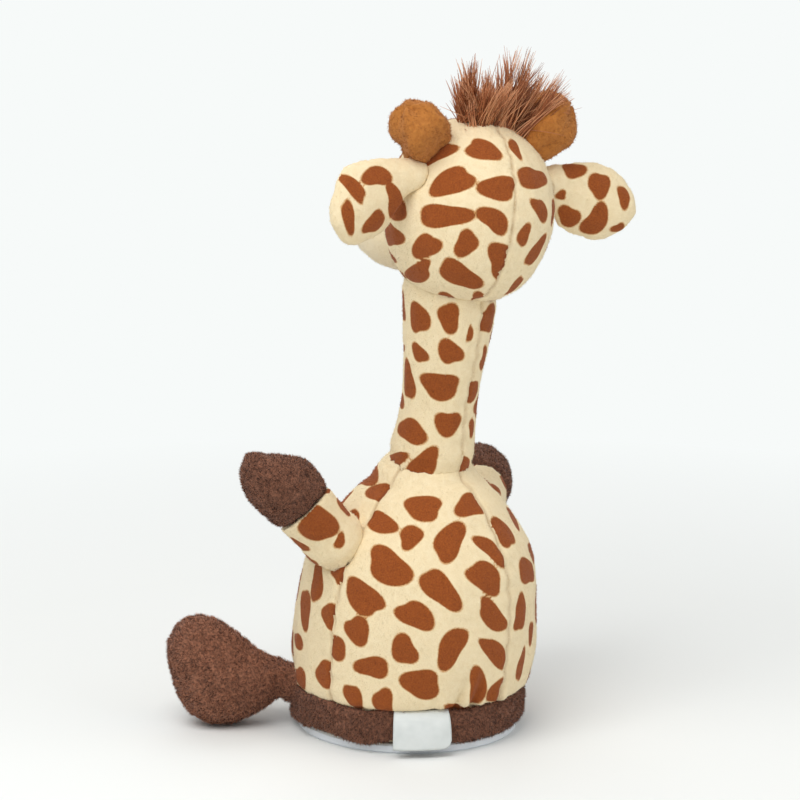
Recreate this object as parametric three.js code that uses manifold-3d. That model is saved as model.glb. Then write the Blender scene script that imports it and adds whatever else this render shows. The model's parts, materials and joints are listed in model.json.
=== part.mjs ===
// Plush giraffe that rocks its neck and answers back, on a hard base with three cells.
// Millimetres, +Z up, the face looks along -Y and the giraffe's left is +X.
import * as THREE from 'three';
import { mergeVertices } from 'three/addons/utils/BufferGeometryUtils.js';
import Module from 'manifold-3d';

const wasm = await Module();
wasm.setup();

// Clearances that every piece shares
const gap = 0.3;
const snug = 0.1;
const overrun = 2;
const degree = Math.PI / 180;

// Hard base plate and the bay for the cells in it
const plate = { sideRim: 4, endRim: 6, thickness: 3, chamfer: 0.6, sides: 48 };
const cell = { radius: 5.25, length: 44.5, count: 3, capRadius: 2.6, capHeight: 0.9, sides: 10 };
const bay = { endRoom: 2.3, wall: 1.5, roof: 1.5, ledge: 1.7 };
const door = {
  thickness: 1.6, recess: 0.3, lugOut: 2, lugRadius: 2.9, grooves: 5, grooveWidth: 1, grooveDepth: 0.5,
};
const contact = { thickness: 0.4, height: 8, coneBase: 2.4, coneTop: 1, coneHeight: 1.1, sides: 8 };
const screw = {
  headRadius: 2.2, headHeight: 1, shankRadius: 1.1, length: 8, slotWidth: 0.6, slotDepth: 0.5, sides: 8,
};
const post = { radius: 2.7, seat: 11.5, sides: 10 };
const toggle = {
  clear: 4.55, width: 5, length: 9, height: 4, slotWidth: 3, slotLength: 7.5, travel: 3, wall: 0.9,
};
const knob = { width: 2.2, length: 3.4, recess: 0.6 };

// Moulded inner housing, in a front and a rear half
const shell = {
  bayClear: 3.95, driveClear: 8.4, wall: 1.8, shoulderDrop: 32, topDrop: 9, sides: 20,
  bossInset: 6.5, bossSpread: 14, bossHeight: 9, tieRise: 23.2, tieInset: 4, tieDepth: 8,
};
const shellShoulderShares = [[1, 0], [0.98, 0.25], [0.9, 0.52], [0.76, 0.8], [0.57, 1]];

// Rocking drive: worm, compound wheel, crank wheel and slotted rocker
const pivot = { pinRadius: 1.25, hubRadius: 3.4, hubHalfLength: 5.6, sides: 12 };
const lean = { neck: 8.9, body: 6 };
const teeth = { size: 0.6, pressure: 20, backlash: 0.22, height: 0.95, root: 1.15, flankSteps: 2 };
const crank = {
  teeth: 30, drop: 14, throw: 3, pinRadius: 1, face: 2.4, axleRadius: 1, hubRadius: 2.4, hubLength: 1,
};
const compound = { wheelTeeth: 24, pinionTeeth: 10, wheelFace: 3, pinionFace: 3, axleRadius: 1 };
const worm = {
  pitchRadius: 3, rootRadius: 2.15, tipRadius: 3.55, length: 8, bore: 0.75, stepsPerTurn: 12, boreSides: 10,
};
const wormRootShares = [0.25, 0.5, 0.75];
const meshSlack = 0.15;
const planes = { crank: -5, compoundPinion: -5.3, rocker: 2, rockerThickness: 2 };
const swing = { ratio: 6.4 };
const tail = { width: 6.4, slotPlay: 0.3, slotTop: 12.6, slotBottom: 18.6, length: 20.6 };
const frame = {
  inside: 6.4, wall: 1.6, motorShow: 0.6, rearReach: 9.5, floor: 1.5, barRadius: 1.6, barReach: 12.6,
  sides: 12, lugRadius: 4, waist: 7, waistDrop: 8.6, shoulder: 14.4, cradle: 1.5, windowRise: 4.2,
  windowDrop: 10.5, windowInset: 3.5,
};
const motor = {
  lift: 24.7, width: 10, height: 12, length: 15, standOff: 3.2, bossRadius: 2.4, bossLength: 1.2, capInset: 1,
  capLength: 1.6,
};

// Voice electronics
const speaker = {
  radius: 12.5, depth: 3.6, flange: 0.9, magnetRadius: 7.5, collar: 1.2, lift: 6.7, slots: 5,
  slotWidth: 1.6, slotShare: 0.92, sides: 18,
};
const mic = { radius: 3, length: 2.6, rise: 3.7, collar: 1 };
const board = {
  width: 30, height: 26, thickness: 1.6, lift: 7.2, standOff: 4, chipSize: 8, chipHeight: 1.4,
  canRadius: 3, canLength: 4, cornerInset: 2.7, postRadius: 2.2, pilotRadius: 0.8,
};

// Plastic neck tube and the disc that the head's stuffing hangs on
const tube = { radius: 5, bore: 3.9, start: 6.4, short: 11, sides: 14 };
const disc = { radius: 12, thickness: 2, collar: 6.4, collarLength: 5, sides: 12 };

// Sewn and stuffed forms
const body = { cover: 8.8, crownRise: 6, widthShare: 0.985, depthShare: 1.015, rings: 13, sides: 24 };
const bodyShares = [
  [0, 0.93], [0.09, 0.945], [0.17, 0.975], [0.28, 1], [0.44, 0.995], [0.62, 0.96],
  [0.72, 0.895], [0.8, 0.8], [0.89, 0.665], [0.95, 0.56], [1, 0.435],
];
const dome = { radius: 18, wall: 3.2, mouth: 9.5, sides: 20 };
const cavitySides = 16;
const hem = { bottom: 3.6, height: 11, inset: 1.1, thickness: 2.4, bulge: 0.5 };
const label = { width: 18, height: 10.6, drop: 1.2, thickness: 0.5, bearing: 52 };
const neck = { radius: 14.6, start: 8, short: 21, bow: 1.6, rings: 8, sides: 16 };
const neckShares = [
  [0, 1.02], [0.07, 0.985], [0.17, 0.88], [0.3, 0.835], [0.44, 0.83], [0.62, 0.9], [0.8, 0.975], [1, 1.06],
];
const poleShare = 0.04;
const head = {
  side: -3, back: 16, up: 93, width: 26.6, depth: 27, rise: 28.5, yaw: -15, roll: -8, jaw: 0.75, rings: 11,
  sides: 20,
};
const muzzle = {
  width: 16, depth: 20, rise: 14.7, forwardShare: 1.407, dropShare: 0.351, rings: 8, sides: 16,
};
const ear = {
  length: 31, width: 12.3, thickness: 3.6, edgeShare: 0.35, cup: 2.6,
  outShare: 0.91, backShare: 0.204, upShare: 0.34,
  sweep: 7, rootRadius: 4, down: -20, rise: 15, steps: 4, rings: 7, sides: 12,
  droop: { left: -21, right: -20 },
};
const earShares = [[0, 0.4], [0.14, 0.64], [0.36, 0.95], [0.56, 1], [0.76, 0.88], [0.92, 0.56], [1, 0.08]];
const horn = {
  length: 21, radius: 9.3, backShare: 0.093, backLean: 16, rings: 6, sides: 12,
  outShares: { left: 0.609, right: 0.489 }, upShares: { left: 0.568, right: 0.653 },
  splay: { left: 46, right: 42 },
};
const hornShares = [[0, 0.72], [0.25, 0.78], [0.5, 0.94], [0.7, 1], [0.86, 0.8], [0.96, 0.44], [1, 0.06]];
const tuft = {
  length: 24, strand: 1.6, tipRadius: 0.3, strands: 20, capRadius: 8, capSink: 5, capRings: 6, capSides: 14,
  backLean: 28, spread: 46, rootShare: 0.8, shortShare: 0.25, lengths: 3, sides: 5,
};
const eye = { radius: 3.6, outShare: 0.432, forwardShare: 0.833, upShare: 0.14, rings: 4, sides: 10 };
const arm = {
  sink: 1.2, back: 1, drop: 12, rootRadius: 7, sleeveStart: 1.5, cuff: 18.5, tip: 45, sleeveRadius: 9.4,
  hoofRadius: 11.3, steps: 5, rings: 6, sides: 14, bearing: { left: -12, right: -43 },
  lift: { left: 47, right: 8 }, down: { left: -35, right: -12 }, up: { left: 15, right: 40 },
};
const sleeveShares = [[0, 0.8], [0.3, 0.96], [0.7, 1.04], [1, 1.08]];
const hoofShares = [[0, 0.84], [0.14, 0.95], [0.38, 1], [0.62, 0.95], [0.82, 0.72], [0.95, 0.36], [1, 0.06]];
const foot = {
  sink: 1.1, bearing: 45, drop: 1.1, rootRadius: 7, length: 41.5, rise: 34.8, width: 12.6, clear: 0.8,
  lift: 20, steps: 3, rings: 10, sides: 14, toe: 0.22,
};
const footShares = [
  [0, 0.57, 0.08, 0.32], [0.05, 0.56, 0.2, 0.6], [0.13, 0.545, 0.3, 0.82], [0.26, 0.5, 0.41, 0.96],
  [0.4, 0.47, 0.48, 1], [0.52, 0.485, 0.485, 1], [0.63, 0.62, 0.37, 0.95], [0.75, 0.67, 0.31, 0.86],
  [0.9, 0.72, 0.2, 0.6], [0.97, 0.73, 0.11, 0.34], [1, 0.735, 0.02, 0.06],
];

// Colours of the real materials
const finish = (color, roughness, metalness = 0) => (
  new THREE.MeshStandardMaterial({ color, roughness, metalness })
);
const look = {
  plush: finish(0xe9d6b4, 0.95),
  brownPlush: finish(0x5b3a26, 0.95),
  hornPlush: finish(0xb77a32, 0.95),
  cream: finish(0xf2e6cf, 0.95),
  hair: finish(0x4a2a1a, 0.9),
  label: finish(0xf4f4f2, 0.8),
  base: finish(0xb9c8cf, 0.45),
  housing: finish(0xe4e2da, 0.5),
  gear: finish(0xf3f1e8, 0.4),
  steel: finish(0xc9ccd0, 0.3, 1),
  nickel: finish(0xb8b4a8, 0.35, 1),
  cellJacket: finish(0x3d6a4f, 0.4),
  circuit: finish(0x2e6b3f, 0.5),
  black: finish(0x141414, 0.35),
};

// Tools for closed geometry
const at = (x, y, z) => new THREE.Vector3(x, y, z);
const weld = 1e-4;

function signedVolume(points, faces) {
  const corner = (n) => at(points[3 * n], points[3 * n + 1], points[3 * n + 2]);
  let sum = 0;
  for (let f = 0; f < faces.length; f += 3) {
    sum += corner(faces[f]).dot(corner(faces[f + 1]).cross(corner(faces[f + 2])));
  }
  return sum;
}

// A closed geometry becomes a solid with merged corners and faces that point out.
function solidOf(geometry) {
  const plain = new THREE.BufferGeometry();
  plain.setAttribute('position', geometry.getAttribute('position').clone());
  if (geometry.index) plain.setIndex(geometry.index.clone());
  const merged = mergeVertices(plain, weld);
  const points = new Float32Array(merged.getAttribute('position').array);
  const index = merged.index.array;
  const faces = [];
  for (let f = 0; f < index.length; f += 3) {
    const [a, b, c] = [index[f], index[f + 1], index[f + 2]];
    if (a !== b && b !== c && c !== a) faces.push(a, b, c);
  }
  if (signedVolume(points, faces) < 0) faces.reverse();
  const triVerts = new Uint32Array(faces);
  return new wasm.Manifold(new wasm.Mesh({ numProp: 3, vertProperties: points, triVerts }));
}

function geometryOf(solid) {
  const mesh = solid.getMesh();
  const geometry = new THREE.BufferGeometry();
  geometry.setAttribute('position', new THREE.BufferAttribute(mesh.vertProperties, 3));
  geometry.setIndex(new THREE.BufferAttribute(mesh.triVerts, 1));
  geometry.computeVertexNormals();
  return geometry;
}

const join = (first, ...others) => (
  geometryOf(others.reduce((sum, next) => sum.add(solidOf(next)), solidOf(first)))
);
const cut = (first, ...tools) => (
  geometryOf(tools.reduce((rest, tool) => rest.subtract(solidOf(tool)), solidOf(first)))
);
const common = (first, second) => geometryOf(solidOf(first).intersect(solidOf(second)));
const placed = (geometry, matrix) => geometry.clone().applyMatrix4(matrix);

function box(low, high) {
  const size = high.clone().sub(low);
  const middle = low.clone().add(high).divideScalar(2);
  return new THREE.BoxGeometry(size.x, size.y, size.z).translate(middle.x, middle.y, middle.z);
}

// A round bar, or a cone, between two points
function rod(radius, from, to, sides, endRadius = radius) {
  const along = to.clone().sub(from);
  const geometry = new THREE.CylinderGeometry(endRadius, radius, along.length(), sides);
  const turn = new THREE.Quaternion().setFromUnitVectors(at(0, 1, 0), along.clone().normalize());
  const middle = from.clone().add(to).divideScalar(2);
  return geometry.applyQuaternion(turn).translate(middle.x, middle.y, middle.z);
}

const ball = (radius, centre, sides) => (
  new THREE.SphereGeometry(radius, sides, Math.round(sides / 2)).translate(centre.x, centre.y, centre.z)
);

// A profile of [radius, height] pairs turned about the Z axis
const turned = (profile, sides) => (
  new THREE.LatheGeometry(profile.map(([r, z]) => new THREE.Vector2(r, z)), sides).rotateX(Math.PI / 2)
);

// A flat outline given a thickness upward
const arcSteps = 6;
const slab = (shape, thickness, curveSegments = arcSteps) => (
  new THREE.ExtrudeGeometry(shape, { depth: thickness, bevelEnabled: false, curveSegments })
);

// A skin through rings of points, closed with a fan at each end
function loft(rings) {
  const count = rings[0].length;
  const points = rings.flat();
  const faces = [];
  for (let r = 0; r + 1 < rings.length; r += 1) {
    for (let i = 0; i < count; i += 1) {
      const a = r * count + i;
      const b = r * count + ((i + 1) % count);
      faces.push(a, b, b + count, a, b + count, a + count);
    }
  }
  const ends = [[rings[0], 0, -1], [rings[rings.length - 1], points.length - count, 1]];
  for (const [ring, first, side] of ends) {
    const middle = ring.reduce((sum, p) => sum.add(p), at(0, 0, 0)).divideScalar(count);
    const hub = points.push(middle) - 1;
    for (let i = 0; i < count; i += 1) {
      const a = first + i;
      const b = first + ((i + 1) % count);
      faces.push(...(side > 0 ? [a, b, hub] : [b, a, hub]));
    }
  }
  const geometry = new THREE.BufferGeometry().setFromPoints(points);
  geometry.setIndex(faces);
  return geometry;
}

// Smooth values between the rows of a table, column by column
function smoothRows(rows, count) {
  const row = (n) => rows[THREE.MathUtils.clamp(n, 0, rows.length - 1)];
  return Array.from({ length: count + 1 }, (_, i) => {
    const place = (i / count) * (rows.length - 1);
    const k = Math.min(Math.floor(place), rows.length - 2);
    const t = place - k;
    return rows[0].map((_value, c) => {
      const [p, q, r, s] = [row(k - 1)[c], row(k)[c], row(k + 1)[c], row(k + 2)[c]];
      const curve = (2 * p - 5 * q + 4 * r - s) * t * t + (3 * q - p - 3 * r + s) * t * t * t;
      return q + ((r - p) * t + curve) / 2;
    });
  });
}

// Level oval rings stacked along Z; toe above 0 makes the +X end of a ring the wider one
function stack(sections, sides, toe = 0) {
  return loft(sections.map(({ x = 0, y = 0, z, halfX, halfY }) => (
    Array.from({ length: sides }, (_, i) => {
      const turn = (2 * Math.PI * i) / sides;
      const widen = 1 + toe * Math.cos(turn);
      return at(x + halfX * Math.cos(turn), y + halfY * widen * Math.sin(turn), z);
    })
  )));
}

// An egg or ball form from its three half sizes, with extra all over
function egg(halfX, halfY, halfZ, rings, sides, extra = 0, jaw = 1) {
  return stack(Array.from({ length: rings + 1 }, (_, i) => {
    const turn = THREE.MathUtils.lerp(poleShare, 1 - poleShare, i / rings) * Math.PI;
    const spread = Math.sin(turn) ** (Math.cos(turn) > 0 ? jaw : 1);
    return {
      z: -Math.cos(turn) * (halfZ + extra),
      halfX: spread * (halfX + extra),
      halfY: spread * (halfY + extra),
    };
  }), sides);
}

function roundedRectangle(halfX, halfY, corner) {
  const shape = new THREE.Shape();
  shape.moveTo(halfX, corner - halfY);
  shape.lineTo(halfX, halfY - corner);
  shape.absarc(halfX - corner, halfY - corner, corner, 0, Math.PI / 2);
  shape.absarc(corner - halfX, halfY - corner, corner, Math.PI / 2, Math.PI);
  shape.absarc(corner - halfX, corner - halfY, corner, Math.PI, 1.5 * Math.PI);
  shape.absarc(halfX - corner, corner - halfY, corner, 1.5 * Math.PI, 2 * Math.PI);
  return shape;
}

// Places that several pieces share
const bodyLean = Math.tan(lean.body * degree);
const bayHalfWidth = cell.count * cell.radius + (cell.count + 1) * gap / 2;
const bayHalfLength = cell.length / 2 + bay.endRoom;
const doorTop = door.recess + door.thickness;
const cellHeight = doorTop + gap + cell.radius;
const bayTop = cellHeight + cell.radius + gap;
const wellTop = bayTop + bay.roof;
const deck = wellTop + gap;
const coverFloor = plate.thickness + gap;
const centreAt = (height) => height * bodyLean;

// The drive stands on the deck: motor and worm, compound wheel, crank wheel, then the neck's pivot
const crankPitch = crank.teeth * teeth.size / 2;
const pinionPitch = compound.pinionTeeth * teeth.size / 2;
const wheelPitch = compound.wheelTeeth * teeth.size / 2;
const wormHeight = deck + motor.lift;
const compoundHeight = wormHeight + worm.pitchRadius + wheelPitch + meshSlack;
const crankHeight = compoundHeight + pinionPitch + crankPitch + meshSlack;
const pivotHeight = crankHeight + crank.drop;
const pivotPoint = at(0, centreAt(pivotHeight), pivotHeight);
const crankPoint = pivotPoint.clone().setZ(crankHeight);
const compoundPoint = pivotPoint.clone().setZ(compoundHeight);
const wormPoint = pivotPoint.clone().setZ(wormHeight);
const motorFace = wormPoint.y - worm.length / 2 - motor.standOff;
const frameOutside = frame.inside + frame.wall;
const frontReach = worm.length / 2 + motor.standOff + motor.length - frame.motorShow;

// The housing clears the battery bay and the drive, and the covers and the plate follow the housing
const shellRadius = Math.max(bayHalfLength + bay.wall + shell.bayClear, frontReach + shell.driveClear);
const shellShoulder = pivotHeight - shell.shoulderDrop;
const shellTop = pivotHeight - shell.topDrop;
const tieReach = shellRadius - shell.tieInset;
const tieHeight = deck + shell.tieRise;
const bodyRadius = shellRadius + body.cover;
const bodyCrown = pivotHeight + body.crownRise;
const hemRadius = bodyRadius - hem.inset;
const hemTop = hem.bottom + hem.height;
const plateHalfWidth = shellRadius + plate.sideRim;
const plateHalfDepth = shellRadius + plate.endRim;
const speakerHeight = deck + speaker.lift + speaker.radius;
const speakerTop = speakerHeight + speaker.radius + speaker.collar + gap;
const micHeight = speakerTop + mic.rise + mic.radius + mic.collar + gap;
const boardLift = deck + board.lift;
const tubeEnd = head.up - tube.short;
const neckEnd = head.up - neck.short;
const lugPoint = at(-(bayHalfWidth + bay.ledge + door.lugOut), 0, 0);
const toggleReach = bayHalfWidth + bay.ledge + toggle.clear;
const bossPoints = [-1, 1].flatMap((side) => [-1, 1].map((end) => (
  at(side * (shellRadius - shell.bossInset), centreAt(deck) + end * shell.bossSpread, 0)
)));
const hub = at(0, 0, 0);

const neckMatrix = new THREE.Matrix4().makeTranslation(pivotPoint)
  .multiply(new THREE.Matrix4().makeRotationX(-lean.neck * degree));
const headMatrix = new THREE.Matrix4()
  .makeTranslation(head.side, pivotPoint.y + head.back, pivotHeight + head.up)
  .multiply(new THREE.Matrix4().makeRotationZ(head.yaw * degree))
  .multiply(new THREE.Matrix4().makeRotationY(head.roll * degree));

// A limb's frame: its pivot, the level hinge axis that lifts it, and the way it points
function limbFrame(point, bearing, lift) {
  const outward = at(Math.cos(bearing * degree), Math.sin(bearing * degree), 0);
  const hinge = outward.clone().cross(at(0, 0, 1));
  const along = outward.clone().applyAxisAngle(hinge, lift * degree);
  const basis = new THREE.Matrix4().makeBasis(along.clone().cross(hinge), hinge.clone().negate(), along);
  return { point, outward, hinge, matrix: basis.setPosition(point) };
}

// Turns a neighbour the other way about a limb's pivot, so that cutting with it leaves room to move
function roomFor(limb, solids, low, high, steps) {
  return Array.from({ length: steps + 1 }, (_, i) => {
    const angle = THREE.MathUtils.lerp(low, high, i / steps) * degree;
    const back = new THREE.Matrix4().makeTranslation(limb.point)
      .multiply(new THREE.Matrix4().makeRotationAxis(limb.hinge, -angle))
      .multiply(new THREE.Matrix4().makeTranslation(limb.point.clone().negate()));
    return solids.map((solid) => placed(solid, back));
  }).flat();
}

// Base plate with its battery well, screw posts and switch slot
const cornerSteps = 3;

function doorOutline(grow) {
  return roundedRectangle(bayHalfWidth + bay.ledge + grow, bayHalfLength + bay.ledge + grow, bay.ledge);
}

function doorBlank(grow, low, high) {
  const panel = slab(doorOutline(grow), high - low, cornerSteps).translate(0, 0, low);
  const lugEnd = lugPoint.clone().setZ(low);
  const lug = rod(door.lugRadius + grow, lugEnd, lugEnd.clone().setZ(high), cell.sides);
  return join(panel, lug);
}

function makePlate() {
  const { thickness, chamfer } = plate;
  const ring = (z, inset) => ({ z, halfX: plateHalfWidth - inset, halfY: plateHalfDepth - inset });
  const flange = stack(
    [ring(0, chamfer), ring(chamfer, 0), ring(thickness - chamfer, 0), ring(thickness, chamfer)],
    plate.sides,
  );
  const well = box(
    at(-bayHalfWidth - bay.wall, -bayHalfLength - bay.wall, chamfer),
    at(bayHalfWidth + bay.wall, bayHalfLength + bay.wall, wellTop),
  );
  const hollow = box(at(-bayHalfWidth, -bayHalfLength, -overrun), at(bayHalfWidth, bayHalfLength, bayTop));
  const stud = (p, top) => rod(post.radius, p.clone().setZ(chamfer), p.clone().setZ(top), post.sides);
  const posts = bossPoints.map((p) => stud(p, wellTop));
  const lugPost = stud(lugPoint, post.seat);
  const headWells = bossPoints.map((p) => (
    rod(screw.headRadius + gap, p.clone().setZ(-overrun), p.clone().setZ(post.seat), post.sides)
  ));
  const shankHole = (p) => (
    rod(screw.shankRadius + gap, p.clone().setZ(chamfer), p.clone().setZ(wellTop + overrun), screw.sides)
  );
  const slot = box(
    at(toggleReach - toggle.slotWidth / 2, -toggle.slotLength / 2, -overrun),
    at(toggleReach + toggle.slotWidth / 2, toggle.slotLength / 2, thickness + overrun),
  );
  return cut(
    join(flange, well, ...posts, lugPost), hollow, doorBlank(gap, -overrun, doorTop + gap),
    ...headWells, ...bossPoints.map(shankHole), shankHole(lugPoint), slot,
  );
}

function makeDoor() {
  const blank = doorBlank(0, door.recess, doorTop);
  const headRoom = rod(
    screw.headRadius + gap, lugPoint.clone().setZ(-overrun),
    lugPoint.clone().setZ(door.recess + screw.headHeight + gap), post.sides,
  );
  const shankEnd = lugPoint.clone().setZ(doorTop + overrun);
  const shankRoom = rod(screw.shankRadius + gap, lugPoint.clone().setZ(-overrun), shankEnd, screw.sides);
  const grooves = Array.from({ length: door.grooves }, (_, i) => {
    const y = bayHalfLength / 2 + 2 * door.grooveWidth * (i - (door.grooves - 1) / 2);
    return box(
      at(-bayHalfWidth / 2, y - door.grooveWidth / 2, -overrun),
      at(bayHalfWidth / 2, y + door.grooveWidth / 2, door.recess + door.grooveDepth),
    );
  });
  return cut(blank, headRoom, shankRoom, ...grooves);
}

function makeScrew(place) {
  const { headRadius, headHeight, shankRadius, length } = screw;
  const profile = [
    [0, 0], [headRadius, 0], [headRadius, headHeight], [shankRadius, headHeight],
    [shankRadius, length - shankRadius], [0, length],
  ];
  const cross = [0, Math.PI / 2].map((turn) => box(
    at(-headRadius * Math.SQRT1_2, -screw.slotWidth / 2, -overrun),
    at(headRadius * Math.SQRT1_2, screw.slotWidth / 2, screw.slotDepth),
  ).rotateZ(turn));
  return cut(turned(profile, screw.sides), ...cross).translate(place.x, place.y, place.z);
}

function makeCell(index) {
  const { radius, length, capRadius, capHeight } = cell;
  const shoulder = length - capHeight;
  const profile = [
    [0, 0], [radius - gap, 0], [radius, gap], [radius, shoulder - gap], [radius - gap, shoulder],
    [capRadius, shoulder], [capRadius, length], [0, length],
  ];
  const x = (index - (cell.count - 1) / 2) * (2 * radius + gap);
  const flip = index % 2 ? Math.PI / 2 : -Math.PI / 2;
  return turned(profile, cell.sides).translate(0, 0, -length / 2).rotateX(flip).translate(x, 0, cellHeight);
}

// A contact strip at one end of the bay, with a coned spring for each cell whose flat end meets it
function makeContact(end) {
  const wall = bayHalfLength - gap;
  const inner = wall - contact.thickness;
  const strip = box(
    at(-bayHalfWidth + gap, inner, cellHeight - contact.height / 2),
    at(bayHalfWidth - gap, wall, cellHeight + contact.height / 2),
  );
  const cones = Array.from({ length: cell.count }, (_, i) => i)
    .filter((i) => (i % 2 ? -1 : 1) === end)
    .map((i) => {
      const x = (i - (cell.count - 1) / 2) * (2 * cell.radius + gap) * end;
      const root = at(x, inner + contact.thickness / 2, cellHeight);
      const tip = at(x, inner - contact.coneHeight, cellHeight);
      return rod(contact.coneBase, root, tip, contact.sides, contact.coneTop);
    });
  return join(strip, ...cones).rotateZ(end > 0 ? 0 : Math.PI);
}

function makeToggleHousing() {
  const { width, length, height, wall } = toggle;
  const outer = box(
    at(toggleReach - width / 2, -length / 2, coverFloor),
    at(toggleReach + width / 2, length / 2, coverFloor + height),
  );
  const inner = box(
    at(toggleReach - width / 2 + wall, -length / 2 + wall, coverFloor - overrun),
    at(toggleReach + width / 2 - wall, length / 2 - wall, coverFloor + height - wall),
  );
  return cut(outer, inner);
}

function makeToggleKnob() {
  const middle = -toggle.travel / 2;
  const top = coverFloor + toggle.height - toggle.wall - gap;
  return box(
    at(toggleReach - knob.width / 2, middle - knob.length / 2, knob.recess),
    at(toggleReach + knob.width / 2, middle + knob.length / 2, top),
  );
}

// The space that the inner housing fills, grown all over
function shellProfile(grow) {
  const shoulder = shellShoulderShares.map(([r, h]) => [
    shellRadius * r + grow, shellShoulder + (shellTop - shellShoulder) * h,
  ]);
  return [[shellRadius + grow, deck], ...shoulder];
}

function shellSolid(grow, below, above, sides = shell.sides) {
  const profile = shellProfile(grow);
  const [topRadius, topHeight] = profile[profile.length - 1];
  const upright = turned([
    [0, deck - below], [shellRadius + grow, deck - below], ...profile, [topRadius, topHeight + above],
    [0, topHeight + above],
  ], sides);
  return upright.applyMatrix4(new THREE.Matrix4().makeShear(0, 0, 0, 0, 0, bodyLean));
}

// The radius of a profile of [radius, height] pairs at a height
function radiusAt(profile, height) {
  const above = profile.findIndex(([, z]) => z >= height);
  const upper = above > 0 ? above : profile.length - 1;
  const [[r1, z1], [r2, z2]] = profile.slice(upper - 1, upper + 1);
  return THREE.MathUtils.mapLinear(height, z1, z2, r1, r2);
}

const speakerFront = centreAt(speakerHeight + speaker.radius) + gap
  - Math.sqrt((shellRadius - shell.wall) ** 2 - (speaker.radius + gap) ** 2);
const along = (radius, y1, y2, x, z, sides) => rod(radius, at(x, y1, z), at(x, y2, z), sides);

function makeShellHalf(end) {
  const wallSolid = cut(shellSolid(0, 0, 0), shellSolid(-shell.wall, overrun, overrun));
  const seam = centreAt(deck);
  const far = shellRadius + overrun;
  const keep = end < 0
    ? box(at(-far, seam - far, -overrun), at(far, seam - gap / 2, shellTop + overrun))
    : box(at(-far, seam + gap / 2, -overrun), at(far, seam + far, shellTop + overrun));
  const room = shellSolid(-shell.wall / 2, 0, 0);
  const bosses = bossPoints.filter((p) => (p.y - seam) * end > 0).map((p) => (
    rod(post.radius, p.clone().setZ(deck), p.clone().setZ(deck + shell.bossHeight), post.sides)
  ));
  const ties = [-1, 1].map((side) => (
    along(post.radius, seam, seam + end * shell.tieDepth, side * tieReach, tieHeight, post.sides)
  ));
  const holeEnd = deck + shell.bossHeight - gap;
  const holes = bossPoints.map((p) => (
    rod(screw.shankRadius + gap, p.clone().setZ(deck - overrun), p.clone().setZ(holeEnd), screw.sides)
  ));
  const tieHoles = [-1, 1].map((side) => along(
    screw.shankRadius + gap, seam - shell.tieDepth + 2 * gap, seam + shell.tieDepth + overrun,
    side * tieReach, tieHeight, screw.sides,
  ));
  const tieSeats = [-1, 1].map((side) => along(
    screw.headRadius + gap, seam + shell.tieDepth - screw.headHeight - 2 * gap, seam + shellRadius,
    side * tieReach, tieHeight, post.sides,
  ));
  const extras = [...bosses, ...ties];
  if (end < 0) extras.push(...speakerSeat());
  if (end > 0) extras.push(...boardPosts());
  const inside = common(join(...extras), room);
  const half = common(join(wallSolid, inside), keep);
  const openings = end < 0 ? [...grilleSlots(), micHole()] : boardPilotHoles();
  return cut(half, ...holes, ...tieHoles, ...tieSeats, ...openings);
}

// The speaker's collar stands on the front wall, with a lip that the flange rests on
function speakerSeat() {
  const outer = speaker.radius + gap + speaker.collar;
  const wallSide = -shellRadius;
  const speakerEnd = speakerFront + speaker.depth;
  const ring = (radius, y1, y2) => along(radius, y1, y2, 0, speakerHeight, speaker.sides);
  const collar = cut(
    ring(outer, wallSide, speakerEnd - gap),
    ring(speaker.radius + gap, speakerFront - gap, speakerEnd + overrun),
    ring(speaker.radius - speaker.collar, wallSide - overrun, speakerFront + overrun),
  );
  const cup = cut(
    along(mic.radius + gap + mic.collar, wallSide, micFace + mic.length, 0, micHeight, post.sides),
    along(mic.radius + gap, wallSide - overrun, micFace + mic.length + overrun, 0, micHeight, post.sides),
  );
  return [collar, cup];
}

const micTop = micHeight + mic.radius + gap;
const micFace = centreAt(micTop) - radiusAt(shellProfile(0), micTop) + shell.wall + gap;

function grilleSlots() {
  const reach = speaker.radius - 2 * speaker.collar;
  const pitch = 2 * reach / speaker.slots;
  return Array.from({ length: speaker.slots }, (_, i) => {
    const x = (i - (speaker.slots - 1) / 2) * pitch;
    const half = Math.sqrt(reach * reach - x * x) * speaker.slotShare;
    return box(
      at(x - speaker.slotWidth / 2, -shellRadius - overrun, speakerHeight - half),
      at(x + speaker.slotWidth / 2, speakerFront - gap, speakerHeight + half),
    );
  });
}

const micHole = () => along(
  mic.radius / 2, -shellRadius - overrun, micFace + gap, 0, micHeight, screw.sides,
);

function makeSpeaker() {
  const { radius, depth, flange, magnetRadius } = speaker;
  const profile = [
    [0, flange], [radius - 2 * flange, 0], [radius, 0], [radius, flange], [radius - flange, flange],
    [magnetRadius, depth / 2], [magnetRadius, depth], [0, depth],
  ];
  return turned(profile, speaker.sides).rotateX(-Math.PI / 2).translate(0, speakerFront, speakerHeight);
}

const makeMic = () => along(mic.radius, micFace, micFace + mic.length, 0, micHeight, post.sides);

// Circuit board on four posts of the rear half
const boardFace = centreAt(boardLift) + Math.sqrt(
  (shellRadius - shell.wall) ** 2 - (board.width / 2) ** 2,
) - board.standOff;
const boardCorners = [-1, 1].flatMap((side) => [0, 1].map((level) => at(
  side * (board.width / 2 - board.cornerInset), boardFace,
  boardLift + board.cornerInset + level * (board.height - 2 * board.cornerInset),
)));
const boardBack = boardFace + board.thickness;
const boardPosts = () => boardCorners.map((p) => (
  along(board.postRadius, boardBack + gap, centreAt(shellTop) + shellRadius, p.x, p.z, screw.sides)
));
const boardPilotHoles = () => boardCorners.map((p) => (
  along(board.pilotRadius, boardFace, boardBack + board.standOff, p.x, p.z, screw.sides / 2)
));

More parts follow.
